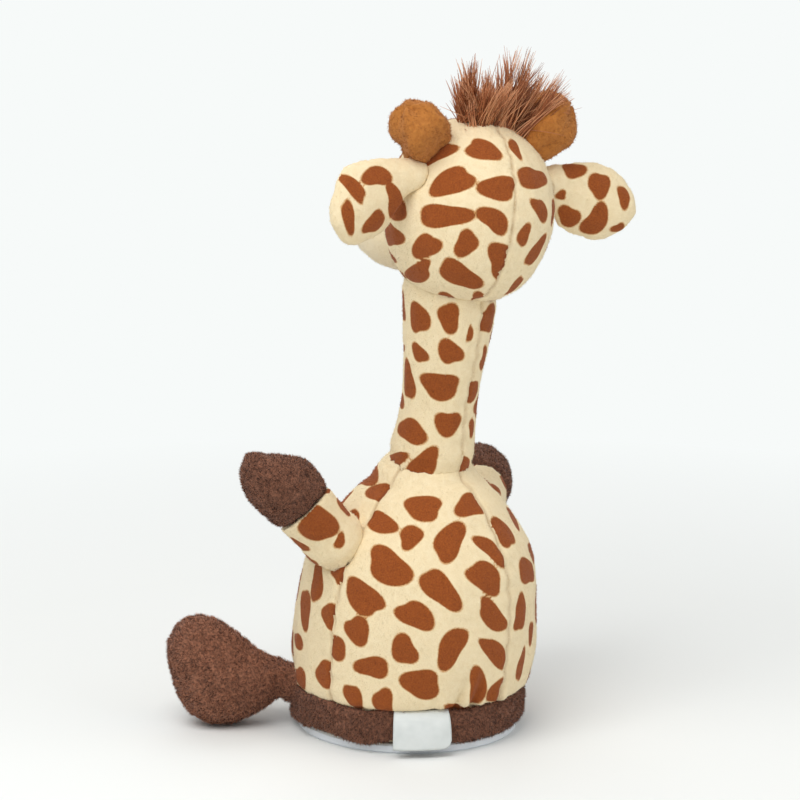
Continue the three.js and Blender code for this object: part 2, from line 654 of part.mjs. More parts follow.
function makeBoard() {
  const { width, height, thickness, chipSize, chipHeight, canRadius, canLength } = board;
  const lift = boardLift;
  const sheet = box(at(-width / 2, boardFace, lift), at(width / 2, boardFace + thickness, lift + height));
  const middle = lift + height / 2;
  const chip = box(
    at(-chipSize / 2, boardFace - chipHeight, middle - chipSize / 2),
    at(chipSize / 2, boardFace + gap, middle + chipSize / 2),
  );
  const canPlace = width / 2 - 2 * canRadius;
  const can = along(canRadius, boardFace - canLength, boardFace + gap, canPlace, middle, post.sides);
  const socket = box(
    at(-width / 2 + chipSize / 2, boardFace - canRadius, lift + canRadius),
    at(-width / 2 + chipSize, boardFace + gap, lift + height - chipSize),
  );
  const holes = boardCorners.map((p) => (
    along(board.pilotRadius, boardFace - overrun, boardBack + overrun, p.x, p.z, screw.sides / 2)
  ));
  return cut(join(sheet, chip, can, socket), ...holes);
}

// Involute outline of a gear about the origin, first tooth along +X
function gearOutline(count) {
  const pitch = count * teeth.size / 2;
  const rootRadius = pitch - teeth.root * teeth.size;
  const tipRadius = pitch + teeth.height * teeth.size;
  const base = pitch * Math.cos(teeth.pressure * degree);
  const roll = (radius) => {
    const angle = Math.acos(Math.min(1, base / radius));
    return Math.tan(angle) - angle;
  };
  const halfAtPitch = Math.PI / (2 * count) - teeth.backlash / (2 * pitch) / 2;
  const half = (radius) => halfAtPitch + roll(pitch) - roll(Math.max(radius, base));
  const radii = Array.from({ length: teeth.flankSteps + 1 }, (_, i) => (
    THREE.MathUtils.lerp(rootRadius, tipRadius, i / teeth.flankSteps)
  ));
  const points = [];
  for (let n = 0; n < count; n += 1) {
    const middle = (2 * Math.PI * n) / count;
    for (const radius of radii) points.push([radius, middle - half(radius)]);
    for (const radius of [...radii].reverse()) points.push([radius, middle + half(radius)]);
  }
  return points.map(([radius, angle]) => (
    new THREE.Vector2(radius * Math.cos(angle), radius * Math.sin(angle))
  ));
}

// Stands an outline, drawn with its X along -Z and its Y along +Y, on the plane x = start
function acrossX(geometry, start, centre) {
  const basis = new THREE.Matrix4().makeBasis(at(0, 0, -1), at(0, 1, 0), at(1, 0, 0));
  return geometry.applyMatrix4(basis).translate(start, centre.y, centre.z);
}

const gearBlank = (count, face, turn) => slab(new THREE.Shape(gearOutline(count)), face).rotateZ(turn);

function axle(radius, x1, x2, centre, sides = pivot.sides) {
  return rod(radius, centre.clone().setX(x1), centre.clone().setX(x2), sides);
}

// The crank pin's angle from straight down, when the neck stands at its rest lean
const crankRest = -lean.neck * swing.ratio * degree;

function makeCrankWheel() {
  const halfTooth = Math.PI / crank.teeth;
  const wheel = acrossX(gearBlank(crank.teeth, crank.face, halfTooth), planes.crank, crankPoint);
  const pinPoint = crankPoint.clone().add(
    at(0, crank.throw * Math.sin(crankRest), -crank.throw * Math.cos(crankRest)),
  );
  const pinEnd = planes.rocker + planes.rockerThickness + gap;
  const pin = axle(crank.pinRadius, planes.crank + crank.face / 2, pinEnd, pinPoint);
  const hubStart = planes.crank - crank.hubLength;
  const boss = axle(crank.hubRadius, hubStart, planes.crank + crank.face / 2, crankPoint);
  const boreEnd = planes.crank + crank.face + overrun;
  const bore = axle(crank.axleRadius + gap, hubStart - overrun, boreEnd, crankPoint);
  return cut(join(wheel, pin, boss), bore);
}

function makeCompound() {
  const { wheelTeeth, pinionTeeth, wheelFace, pinionFace, axleRadius } = compound;
  const wheelStart = -wheelFace / 2;
  const lead = Math.atan(teeth.size / (2 * worm.pitchRadius));
  const twist = wheelFace * Math.tan(lead) / wheelPitch;
  const outline = gearOutline(wheelTeeth);
  const layers = [0, 1].map((share) => outline.map((p) => {
    const point = p.clone().rotateAround(new THREE.Vector2(0, 0), twist * (share - 0.5));
    return at(point.x, point.y, share * wheelFace);
  }));
  const wheel = acrossX(loft(layers), wheelStart, compoundPoint);
  const pinion = acrossX(
    gearBlank(pinionTeeth, pinionFace, Math.PI), planes.compoundPinion, compoundPoint,
  );
  const neckRadius = pinionPitch - teeth.root * teeth.size;
  const sleeve = axle(neckRadius, planes.compoundPinion + gap, wheelStart + gap, compoundPoint);
  const bore = axle(
    axleRadius + gap, planes.compoundPinion - overrun, wheelStart + wheelFace + overrun, compoundPoint,
  );
  return cut(join(wheel, pinion, sleeve), bore);
}

// One-start worm: the same oval section all along, turned one full turn in each tooth pitch
function makeWorm() {
  const pitch = Math.PI * teeth.size;
  const { rootRadius, tipRadius, pitchRadius, length, stepsPerTurn, bore, boreSides } = worm;
  const slope = Math.tan(teeth.pressure * degree);
  const halfWidth = (radius) => pitch / 4 - teeth.backlash / 4 - (radius - pitchRadius) * slope;
  const flank = [rootRadius, pitchRadius, tipRadius].map((radius) => [radius, halfWidth(radius) / pitch]);
  const rootGap = 1 - 2 * flank[0][1];
  const rootTurns = wormRootShares.map((share) => [rootRadius, flank[0][1] + rootGap * share]);
  const tipTurns = [[tipRadius, 0]];
  const section = [
    ...flank.map(([radius, turn]) => [radius, -turn]), ...tipTurns, ...[...flank].reverse(), ...rootTurns,
  ];
  const steps = Math.round(length / pitch * stepsPerTurn);
  const rings = Array.from({ length: steps + 1 }, (_, i) => {
    const z = length * (i / steps - 0.5);
    return section.map(([radius, turn]) => {
      const angle = 2 * Math.PI * (turn + z / pitch);
      return at(radius * Math.cos(angle), radius * Math.sin(angle), z);
    });
  });
  const shaftRoom = rod(bore + snug, at(0, 0, -length), at(0, 0, length), boreSides);
  const upright = cut(loft(rings), shaftRoom);
  const basis = new THREE.Matrix4().makeBasis(at(0, 0, 1), at(1, 0, 0), at(0, 1, 0));
  return upright.rotateZ(Math.PI).applyMatrix4(basis).translate(0, wormPoint.y, wormPoint.z);
}

function makeShaft() {
  const end = wormPoint.y + worm.length / 2 + gap;
  return along(worm.bore, motorFace - motor.length / 2, end, 0, wormPoint.z, worm.boreSides);
}

function makeMotor() {
  const { width, height, length, bossRadius, bossLength, capInset, capLength } = motor;
  const outline = (inset) => {
    const radius = height / 2 - inset;
    const flat = Math.acos((width / 2 - inset) / radius);
    const shape = new THREE.Shape();
    shape.absarc(0, 0, radius, flat, Math.PI - flat);
    shape.absarc(0, 0, radius, Math.PI + flat, 2 * Math.PI - flat);
    return shape;
  };
  const stand = (geometry, end) => geometry.rotateX(Math.PI / 2).translate(0, end, wormPoint.z);
  const can = stand(slab(outline(0), length), motorFace);
  const cap = stand(slab(outline(capInset), capLength + capInset), motorFace - length + capInset);
  const boss = along(bossRadius, motorFace - capInset, motorFace + bossLength, 0, wormPoint.z, post.sides);
  const tunnel = along(
    worm.bore + gap, motorFace - length / 2 - gap, motorFace + bossLength + overrun, 0, wormPoint.z,
    worm.boreSides,
  );
  return cut(join(can, cap, boss), tunnel);
}

// Gearbox frame: two side plates, a deck, a motor cradle and tie bars
function sideOutline() {
  const shape = new THREE.Shape();
  const { rearReach, shoulder, lugRadius, waist, waistDrop } = frame;
  const [low, high] = [deck + frame.windowRise, wormHeight - frame.windowDrop];
  const lugHeight = pivotPoint.z;
  const barHeight = crankPoint.z;
  const motorTop = wormPoint.z + motor.height / 2 + 2 * frame.cradle;
  shape.moveTo(-frontReach, deck);
  shape.lineTo(rearReach, deck);
  shape.lineTo(rearReach, motorTop);
  shape.lineTo(shoulder, barHeight);
  shape.lineTo(waist, lugHeight - waistDrop);
  shape.lineTo(lugRadius, lugHeight);
  shape.absarc(0, lugHeight, lugRadius, 0, Math.PI);
  shape.lineTo(-waist, lugHeight - waistDrop);
  shape.lineTo(-shoulder, barHeight);
  shape.lineTo(-frontReach, motorTop);
  const opening = new THREE.Path();
  opening.moveTo(windowEdge(-frontReach), low);
  opening.lineTo(windowEdge(-frontReach), high);
  opening.lineTo(windowEdge(rearReach), high);
  opening.lineTo(windowEdge(rearReach), low);
  shape.holes.push(opening);
  return shape;
}

const windowEdge = (edge) => edge - Math.sign(edge) * frame.windowInset;

function makeFrame() {
  const upright = new THREE.Matrix4().makeBasis(at(0, 1, 0), at(0, 0, 1), at(1, 0, 0));
  const side = (x) => slab(sideOutline(), frame.wall).applyMatrix4(upright).translate(x, pivotPoint.y, 0);
  const sides = [side(-frameOutside), side(frame.inside)];
  const span = frame.inside + frame.wall / 2;
  const front = pivotPoint.y - frontReach;
  const deckPlate = box(at(-span, front, deck), at(span, pivotPoint.y + frame.rearReach, deck + frame.floor));
  const motorFloor = wormPoint.z - motor.height / 2 - gap;
  const cradle = box(at(-span, front, motorFloor - frame.cradle), at(span, motorFace, motorFloor));
  const bars = [[-frame.barReach, crankPoint.z], [frame.barReach, crankPoint.z]].map(([y, z]) => (
    axle(frame.barRadius, -span, span, at(0, pivotPoint.y + y, z), frame.sides)
  ));
  const keeper = axle(
    frame.barRadius, -span, span,
    at(0, motorFace - motor.length / 2, wormPoint.z + motor.height / 2 + gap + frame.barRadius), frame.sides,
  );
  const through = (radius, x1, x2, centre) => axle(radius + gap, x1, x2, centre, frame.sides);
  const outside = frameOutside + overrun;
  return cut(
    join(...sides, deckPlate, cradle, ...bars, keeper),
    through(pivot.pinRadius, -outside, outside, pivotPoint),
    through(compound.axleRadius, -outside, outside, compoundPoint),
    through(crank.axleRadius, -outside, 0, crankPoint),
  );
}

const pinLength = frameOutside + gap;
const makePivotPin = () => axle(pivot.pinRadius, -pinLength, pinLength, pivotPoint);
const makeCompoundAxle = () => axle(compound.axleRadius, -pinLength, pinLength, compoundPoint);
const makeCrankAxle = () => axle(crank.axleRadius, -pinLength, planes.crank + crank.face, crankPoint);

// Rocker lever in the neck's frame: hub, spigot for the tube, and the slotted tail below
function makeRocker() {
  const turn = axle(pivot.hubRadius, -pivot.hubHalfLength, pivot.hubHalfLength, hub, pivot.sides);
  const collar = rod(tube.radius, hub, at(0, 0, tube.start - gap), tube.sides);
  const spigot = rod(tube.bore - gap, hub, at(0, 0, tube.start + 2 * tube.radius), tube.sides);
  const tailEnd = planes.rocker + planes.rockerThickness;
  const slat = box(at(planes.rocker, -tail.width / 2, -tail.length), at(tailEnd, tail.width / 2, 0));
  const halfSlot = crank.pinRadius + tail.slotPlay;
  const slot = box(
    at(planes.rocker - overrun, -halfSlot, -tail.slotBottom), at(tailEnd + overrun, halfSlot, -tail.slotTop),
  );
  const bore = axle(pivot.pinRadius + gap, -pinLength, pinLength, hub);
  return placed(cut(join(turn, collar, spigot, slat), slot, bore), neckMatrix);
}

function makeTube() {
  const outer = rod(tube.radius, at(0, 0, tube.start), at(0, 0, tubeEnd), tube.sides);
  const bore = rod(tube.bore, at(0, 0, tube.start - overrun), at(0, 0, tubeEnd + overrun), tube.sides);
  return placed(cut(outer, bore), neckMatrix);
}

function discSolid(grow) {
  const top = tubeEnd + gap + disc.thickness;
  const collarFoot = tubeEnd - disc.collarLength - grow;
  const collar = rod(disc.collar + grow, at(0, 0, collarFoot), at(0, 0, tubeEnd), disc.sides);
  const face = rod(disc.radius + grow, at(0, 0, tubeEnd + gap - grow), at(0, 0, top + grow), disc.sides);
  const core = rod(tube.radius + grow, at(0, 0, tubeEnd - gap), at(0, 0, top), tube.sides);
  return join(face, collar, core);
}

function makeDisc() {
  const seat = rod(
    tube.radius + gap, at(0, 0, tubeEnd - disc.collarLength - overrun), at(0, 0, tubeEnd + gap), tube.sides,
  );
  const core = rod(disc.collar, at(0, 0, tubeEnd - gap), at(0, 0, tubeEnd + disc.thickness), disc.sides);
  return placed(cut(join(discSolid(0), core), seat), neckMatrix);
}

// Outer shapes of the stuffed pieces, grown by extra where they cut a neighbour
const bodyRows = smoothRows(bodyShares, body.rings).map(([heightShare, radiusShare]) => (
  [bodyRadius * radiusShare, THREE.MathUtils.lerp(coverFloor, bodyCrown, heightShare)]
));

function bodyForm(extra) {
  return join(
    stack(bodyRows.map(([radius, z]) => {
      const halfY = radius * body.depthShare + extra;
      return { y: z * bodyLean, z, halfX: radius * body.widthShare + extra, halfY };
    }), body.sides),
    ball(dome.radius + extra, pivotPoint, dome.sides),
  );
}

const neckForm = () => placed(stack(smoothRows(neckShares, neck.rings).map(([heightShare, radiusShare]) => {
  const radius = neck.radius * radiusShare;
  const y = neck.bow * Math.sin(Math.PI * heightShare);
  return { y, z: THREE.MathUtils.lerp(neck.start, neckEnd, heightShare), halfX: radius, halfY: radius };
}), neck.sides), neckMatrix);

const headForm = (extra) => placed(
  egg(head.width, head.depth, head.rise, head.rings, head.sides, extra, head.jaw), headMatrix,
);

const plateForm = (extra) => stack([
  { z: -overrun, halfX: plateHalfWidth + extra, halfY: plateHalfDepth + extra },
  { z: plate.thickness + extra, halfX: plateHalfWidth + extra, halfY: plateHalfDepth + extra },
], plate.sides);

function hemForm(extra, inward, outward = 0) {
  const { bottom, height, thickness, bulge } = hem;
  const radius = hemRadius;
  const middle = bottom + height / 2;
  const ring = (z, r) => ({ z, halfX: r * body.widthShare, halfY: r * body.depthShare });
  const outer = stack([
    ring(bottom - extra, radius - bulge + extra + outward), ring(middle, radius + extra + outward),
    ring(bottom + height + extra, radius - bulge + extra + outward),
  ], body.sides);
  const inner = radius - thickness - inward;
  const inside = stack([ring(bottom - overrun, inner), ring(bottom + height + overrun, inner)], body.sides);
  return cut(outer, inside);
}

// Where the limbs are sewn on
const limbSides = 10;
const side = { left: 1, right: -1 };
const mirrored = (bearing, which) => (side[which] > 0 ? bearing : 180 - bearing);
const armHeight = pivotHeight - arm.drop;
const armOut = radiusAt(bodyRows, armHeight) * body.widthShare - arm.sink;
const footHeight = hemTop - foot.drop;
const armFrames = {};
const footFrames = {};
const earFrames = {};
for (const which of ['left', 'right']) {
  armFrames[which] = limbFrame(
    at(side[which] * armOut, arm.back, armHeight), mirrored(arm.bearing[which], which), arm.lift[which],
  );
  const footPoint = at(hemRadius - foot.sink, 0, 0).applyAxisAngle(at(0, 0, 1), -foot.bearing * degree);
  footFrames[which] = limbFrame(
    at(side[which] * footPoint.x, centreAt(footHeight) + footPoint.y, footHeight),
    mirrored(-foot.bearing, which), 0,
  );
  const earPoint = at(ear.outShare * head.width, ear.backShare * head.depth, ear.upShare * head.rise);
  const root = earPoint.setX(side[which] * earPoint.x).applyMatrix4(headMatrix);
  earFrames[which] = limbFrame(root, mirrored(ear.sweep, which) + head.yaw, ear.droop[which]);
}
const around = (radius, sides) => radius / Math.cos(Math.PI / sides) ** 2;
const socket = (limb, radius) => ball(around(radius + gap, limbSides), limb.point, limbSides);

function makeBodyCover() {
  const shellRoom = shellSolid(around(shellRadius + gap, cavitySides) - shellRadius, 0, 0, cavitySides);
  const wellRoom = turned([
    [0, -overrun], [wellReach, -overrun], [wellReach, deck + gap], [0, deck + gap],
  ], body.sides);
  const lift = dome.radius + overrun;
  const mouth = rod(dome.mouth, pivotPoint, pivotPoint.clone().setZ(pivotPoint.z + lift), cavitySides);
  return cut(
    bodyForm(0), shellRoom, wellRoom, ball(dome.radius - dome.wall, pivotPoint, cavitySides), mouth,
    hemForm(gap, gap, bodyRadius), ...['left', 'right'].flatMap((which) => [
      socket(armFrames[which], arm.rootRadius), socket(footFrames[which], foot.rootRadius),
    ]),
  );
}

const wellReach = Math.hypot(bayHalfWidth + bay.wall, bayHalfLength + bay.wall) + gap;

const makeHem = () => cut(
  hemForm(0, 0), ...['left', 'right'].map((which) => socket(footFrames[which], foot.rootRadius)),
);

function makeLabel() {
  const inner = hemRadius * body.depthShare + gap;
  const halfAngle = label.width / inner / 2;
  const shape = new THREE.Shape();
  shape.absarc(0, 0, inner + label.thickness, -halfAngle, halfAngle);
  shape.absarc(0, 0, inner, halfAngle, -halfAngle, true);
  const low = hemTop - label.drop - label.height;
  return slab(shape, label.height).rotateZ(label.bearing * degree).translate(0, 0, low);
}

function makeNeckCover() {
  const bore = rod(tube.radius + gap, hub, at(0, 0, neckEnd + overrun), tube.sides);
  const seat = ball(around(dome.radius + gap, dome.sides), pivotPoint, dome.sides);
  return cut(neckForm(), seat, headForm(gap), placed(bore, neckMatrix));
}

function makeHeadCover() {
  const bore = placed(rod(tube.radius + gap, hub, at(0, 0, tubeEnd), tube.sides), neckMatrix);
  const sockets = ['left', 'right'].map((which) => socket(earFrames[which], ear.rootRadius));
  return cut(headForm(0), bore, placed(discSolid(gap), neckMatrix), ...sockets);
}

function makeMuzzle() {
  const form = egg(muzzle.width, muzzle.depth, muzzle.rise, muzzle.rings, muzzle.sides);
  form.translate(0, -muzzle.forwardShare * head.depth, -muzzle.dropShare * head.rise);
  return cut(placed(form, headMatrix), headForm(gap));
}

function makeEar(which) {
  const limb = earFrames[which];
  const leaf = stack(smoothRows(earShares, ear.rings).map(([lengthShare, widthShare]) => ({
    z: ear.length * lengthShare,
    halfX: ear.width * widthShare,
    halfY: ear.thickness * THREE.MathUtils.lerp(ear.edgeShare, 1, widthShare),
  })), ear.sides);
  const points = leaf.getAttribute('position');
  for (let i = 0; i < points.count; i += 1) {
    const out = points.getX(i) / ear.width;
    points.setY(i, points.getY(i) - side[which] * ear.cup * out * out);
  }
  const root = ball(ear.rootRadius, hub, limbSides);
  const whole = placed(cut(leaf, ball(ear.rootRadius / 2, hub, limbSides)), limb.matrix);
  const room = roomFor(limb, [headForm(gap)], ear.down, ear.rise, ear.steps);
  return join(cut(whole, ...room), placed(root, limb.matrix));
}

function makeHorn(which) {
  const form = stack(smoothRows(hornShares, horn.rings).map(([lengthShare, radiusShare]) => ({
    z: horn.length * lengthShare, halfX: horn.radius * radiusShare, halfY: horn.radius * radiusShare,
  })), horn.sides);
  form.rotateX(-horn.backLean * degree).rotateY(side[which] * horn.splay[which] * degree);
  form.translate(
    side[which] * horn.outShares[which] * head.width, horn.backShare * head.depth,
    horn.upShares[which] * head.rise,
  );
  return cut(placed(form, headMatrix), headForm(gap));
}

// Hair tuft: tapered locks that fan out of one sewn-on cap
function makeTuft() {
  const top = at(0, 0, head.rise - tuft.capSink / 2);
  const cap = egg(tuft.capRadius, tuft.capRadius, tuft.capSink, tuft.capRings, tuft.capSides)
    .translate(top.x, top.y, top.z);
  const golden = Math.PI * (3 - Math.sqrt(5));
  const locks = Array.from({ length: tuft.strands }, (_, i) => {
    const share = Math.sqrt((i + 0.5) / tuft.strands);
    const tilt = tuft.spread * share * degree;
    const turn = golden * i;
    const way = at(Math.sin(tilt) * Math.cos(turn), Math.sin(tilt) * Math.sin(turn), Math.cos(tilt));
    const root = top.clone().add(at(way.x, way.y, 0).multiplyScalar(tuft.capRadius * tuft.rootShare));
    const length = tuft.length * (1 - tuft.shortShare * share * (i % tuft.lengths) / tuft.lengths);
    const lock = way.multiplyScalar(length).applyAxisAngle(at(1, 0, 0), -tuft.backLean * degree);
    const tip = root.clone().add(lock);
    return rod(tuft.strand, root, tip, tuft.sides, tuft.tipRadius);
  });
  return cut(placed(join(cap, ...locks), headMatrix), headForm(gap));
}

function makeEye(which) {
  const form = egg(eye.radius, eye.radius, eye.radius, eye.rings, eye.sides);
  form.translate(
    side[which] * eye.outShare * head.width, -eye.forwardShare * head.depth, eye.upShare * head.rise,
  );
  return cut(placed(form, headMatrix), headForm(gap));
}

function armPiece(shares, start, end, radius) {
  return stack(smoothRows(shares, arm.rings).map(([lengthShare, radiusShare]) => {
    const half = radius * radiusShare;
    return { z: THREE.MathUtils.lerp(start, end, lengthShare), halfX: half, halfY: half };
  }), arm.sides);
}

function makeSleeve(which) {
  const limb = armFrames[which];
  const form = placed(armPiece(sleeveShares, arm.sleeveStart, arm.cuff, arm.sleeveRadius), limb.matrix);
  const room = roomFor(limb, [bodyForm(gap)], arm.down[which], arm.up[which], arm.steps);
  return join(cut(form, ...room), placed(ball(arm.rootRadius, hub, limbSides), limb.matrix));
}

function makeHoof(which) {
  const limb = armFrames[which];
  const form = placed(armPiece(hoofShares, arm.cuff + gap, arm.tip, arm.hoofRadius), limb.matrix);
  return cut(form, ...roomFor(limb, [bodyForm(gap)], arm.down[which], arm.up[which], arm.steps));
}

function makeFoot(which) {
  const limb = footFrames[which];
  const { length, rise, width, clear } = foot;
  const rows = smoothRows(footShares, foot.rings);
  const form = stack(rows.map(([heightShare, centre, halfLength, halfWidth]) => ({
    x: length * centre,
    z: clear + rise * heightShare,
    halfX: length * halfLength,
    halfY: width * halfWidth,
  })), foot.sides, foot.toe);
  const basis = new THREE.Matrix4().makeBasis(limb.outward, limb.hinge.clone().negate(), at(0, 0, 1));
  const standing = placed(form, basis.setPosition(limb.point.x, limb.point.y, 0));
  const neighbours = [bodyForm(gap), hemForm(gap, 0), plateForm(gap)];
  const room = roomFor(limb, neighbours, 0, foot.lift, foot.steps);
  return join(cut(standing, ...room), placed(ball(foot.rootRadius, hub, limbSides), limb.matrix));
}

// Scene graph: each moving body is a group placed at its pivot
const giraffe = new THREE.Group();
giraffe.name = 'plush_giraffe';

function movingGroup(name, matrix, parent = giraffe) {
  const group = new THREE.Group();
  group.name = name;
  parent.updateMatrixWorld(true);
  group.applyMatrix4(parent.matrixWorld.clone().invert().multiply(matrix));
  parent.add(group);
  group.updateMatrixWorld(true);
  return group;
}

function add(parent, name, geometry, material) {
  const local = placed(geometry, parent.matrixWorld.clone().invert());
  local.computeVertexNormals();
  const mesh = new THREE.Mesh(local, material);
  mesh.name = name;
  parent.add(mesh);
}

const pointMatrix = (point) => new THREE.Matrix4().makeTranslation(point);
add(giraffe, 'base_plate', makePlate(), look.base);
for (let i = 0; i < cell.count; i += 1) add(giraffe, `battery_cell_${i + 1}`, makeCell(i), look.cellJacket);
add(giraffe, 'contact_front', makeContact(-1), look.nickel);
add(giraffe, 'contact_rear', makeContact(1), look.nickel);
bossPoints.forEach((p, i) => {
  const seat = p.clone().setZ(post.seat - screw.headHeight);
  add(giraffe, `housing_screw_${i + 1}`, makeScrew(seat), look.steel);
});
add(giraffe, 'switch_housing', makeToggleHousing(), look.black);
add(giraffe, 'housing_front', makeShellHalf(-1), look.housing);
add(giraffe, 'housing_rear', makeShellHalf(1), look.housing);
for (const which of ['left', 'right']) {
  const seat = centreAt(deck) + shell.tieDepth - gap;
  const tieScrew = makeScrew(hub).rotateX(Math.PI / 2)
    .translate(side[which] * tieReach, seat, tieHeight);
  add(giraffe, `seam_screw_${which}`, tieScrew, look.steel);
}
add(giraffe, 'speaker', makeSpeaker(), look.black);
add(giraffe, 'microphone', makeMic(), look.steel);
add(giraffe, 'circuit_board', makeBoard(), look.circuit);
add(giraffe, 'gearbox_frame', makeFrame(), look.housing);
add(giraffe, 'motor', makeMotor(), look.steel);
add(giraffe, 'pivot_pin', makePivotPin(), look.steel);
add(giraffe, 'compound_axle', makeCompoundAxle(), look.steel);
add(giraffe, 'crank_axle', makeCrankAxle(), look.steel);
add(giraffe, 'body_cover', makeBodyCover(), look.plush);
add(giraffe, 'hem_band', makeHem(), look.brownPlush);
add(giraffe, 'care_label', makeLabel(), look.label);

const crankGroup = movingGroup('crank_turn', pointMatrix(crankPoint));
add(crankGroup, 'crank_wheel', makeCrankWheel(), look.gear);
const compoundGroup = movingGroup('compound_turn', pointMatrix(compoundPoint));
add(compoundGroup, 'compound_wheel', makeCompound(), look.gear);
const wormGroup = movingGroup('worm_turn', pointMatrix(wormPoint));
add(wormGroup, 'worm', makeWorm(), look.gear);
add(wormGroup, 'motor_shaft', makeShaft(), look.steel);

const doorGroup = movingGroup('door_slide', pointMatrix(hub));
add(doorGroup, 'battery_door', makeDoor(), look.base);
const doorScrewSeat = lugPoint.clone().setZ(door.recess + snug);
add(doorGroup, 'door_screw', makeScrew(doorScrewSeat), look.steel);
const toggleGroup = movingGroup('switch_slide', pointMatrix(at(toggleReach, 0, 0)));
add(toggleGroup, 'switch_knob', makeToggleKnob(), look.black);

const neckGroup = movingGroup('neck_rock', neckMatrix);
add(neckGroup, 'neck_rocker', makeRocker(), look.gear);
add(neckGroup, 'neck_tube', makeTube(), look.housing);
add(neckGroup, 'head_disc', makeDisc(), look.housing);
add(neckGroup, 'neck_cover', makeNeckCover(), look.plush);
add(neckGroup, 'head_cover', makeHeadCover(), look.plush);
add(neckGroup, 'muzzle', makeMuzzle(), look.cream);
add(neckGroup, 'hair_tuft', makeTuft(), look.hair);
for (const which of ['left', 'right']) {
  add(neckGroup, `horn_${which}`, makeHorn(which), look.hornPlush);
  add(neckGroup, `eye_${which}`, makeEye(which), look.black);
  const earGroup = movingGroup(`ear_${which}_flop`, earFrames[which].matrix, neckGroup);
  add(earGroup, `ear_${which}`, makeEar(which), look.plush);
  const armGroup = movingGroup(`arm_${which}_swing`, armFrames[which].matrix);
  add(armGroup, `sleeve_${which}`, makeSleeve(which), look.plush);
  add(armGroup, `hoof_${which}`, makeHoof(which), look.brownPlush);
  const footGroup = movingGroup(`foot_${which}_lift`, footFrames[which].matrix);
  add(footGroup, `foot_${which}`, makeFoot(which), look.brownPlush);
}

// The finished toy stands on z = 0, centred in plan
giraffe.updateMatrixWorld(true);
const extent = new THREE.Box3().setFromObject(giraffe, true);
const middle = extent.getCenter(at(0, 0, 0));
giraffe.position.set(-middle.x, -middle.y, -extent.min.z);
giraffe.updateMatrixWorld(true);

export default giraffe;
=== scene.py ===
"""Plush giraffe that rocks its neck and talks back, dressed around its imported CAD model."""

import json
import math

import bmesh
import bpy
import numpy as np
from mathutils import Matrix, Vector, noise
from mathutils.bvhtree import BVHTree


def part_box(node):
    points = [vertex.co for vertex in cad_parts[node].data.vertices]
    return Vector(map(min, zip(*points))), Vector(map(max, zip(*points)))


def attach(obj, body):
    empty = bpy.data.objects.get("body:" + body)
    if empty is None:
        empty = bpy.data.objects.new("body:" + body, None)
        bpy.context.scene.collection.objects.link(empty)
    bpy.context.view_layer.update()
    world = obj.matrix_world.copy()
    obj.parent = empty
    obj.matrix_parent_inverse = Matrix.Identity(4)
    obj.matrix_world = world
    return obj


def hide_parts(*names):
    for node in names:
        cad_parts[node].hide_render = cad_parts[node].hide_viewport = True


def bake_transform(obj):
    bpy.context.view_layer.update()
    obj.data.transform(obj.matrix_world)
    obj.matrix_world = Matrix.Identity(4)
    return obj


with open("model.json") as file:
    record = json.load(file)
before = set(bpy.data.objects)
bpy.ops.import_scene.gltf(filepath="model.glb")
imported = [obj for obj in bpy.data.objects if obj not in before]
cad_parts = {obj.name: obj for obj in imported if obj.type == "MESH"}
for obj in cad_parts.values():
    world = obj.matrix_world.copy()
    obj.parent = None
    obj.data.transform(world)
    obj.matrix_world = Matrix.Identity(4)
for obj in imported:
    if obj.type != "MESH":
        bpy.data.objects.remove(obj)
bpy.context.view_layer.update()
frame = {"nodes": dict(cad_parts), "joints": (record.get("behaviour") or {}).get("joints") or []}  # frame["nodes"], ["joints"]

# Camera at the photograph's angle: behind the toy's left side and a little above it.
# It looks at the middle of the toy's height from 1.2 m away, through a long lens.
mm = 0.001
plate_low, plate_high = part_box("base_plate")
middle = Vector(((plate_low[0] + plate_high[0]) / 2, (plate_low[1] + plate_high[1]) / 2, 0))
photo_size = 800  # pixels
photo_focal = 3805  # pixels
photo_bearing = math.radians(135)
photo_rise = math.radians(12)
photo_distance = 1200 * mm
look_height = 105.65 * mm
look_aside = -2.14 * mm


def way_out(bearing, rise):
    """The way out from the toy at a bearing and a rise"""
    return Vector((math.sin(bearing) * math.cos(rise), -math.cos(bearing) * math.cos(rise), math.sin(rise)))


def placed(name, data):
    """A new object, put into the scene"""
    made = bpy.data.objects.new(name, data)
    bpy.context.collection.objects.link(made)
    return made


photo_right = Vector((math.cos(photo_bearing), math.sin(photo_bearing), 0))
to_photo = way_out(photo_bearing, photo_rise)
photo_up = to_photo.cross(photo_right)
look_at = middle + Vector((0, 0, look_height)) + look_aside * photo_right
photo_eye = look_at + photo_distance * to_photo
camera_data = bpy.data.cameras.new("photo_camera")
camera_data.lens = camera_data.sensor_width * photo_focal / photo_size
camera_data.clip_start = 10 * mm
camera = placed("photo_camera", camera_data)
camera.location = photo_eye
camera.rotation_euler = (-to_photo).to_track_quat("-Z", "Y").to_euler()
bpy.context.scene.camera = camera
bpy.context.scene.view_settings.view_transform = "Standard"


# Studio: a pale sweep that runs out into the white background, under broad soft lamps.
# The floor keeps the toy's shadow, and only the camera sees its far part as background.
def colour(red, green, blue):
    """A colour as a screen shows it, in the linear values that the shaders take"""
    return (*[((c / 255 + 0.055) / 1.055) ** 2.4 for c in (red, green, blue)], 1)


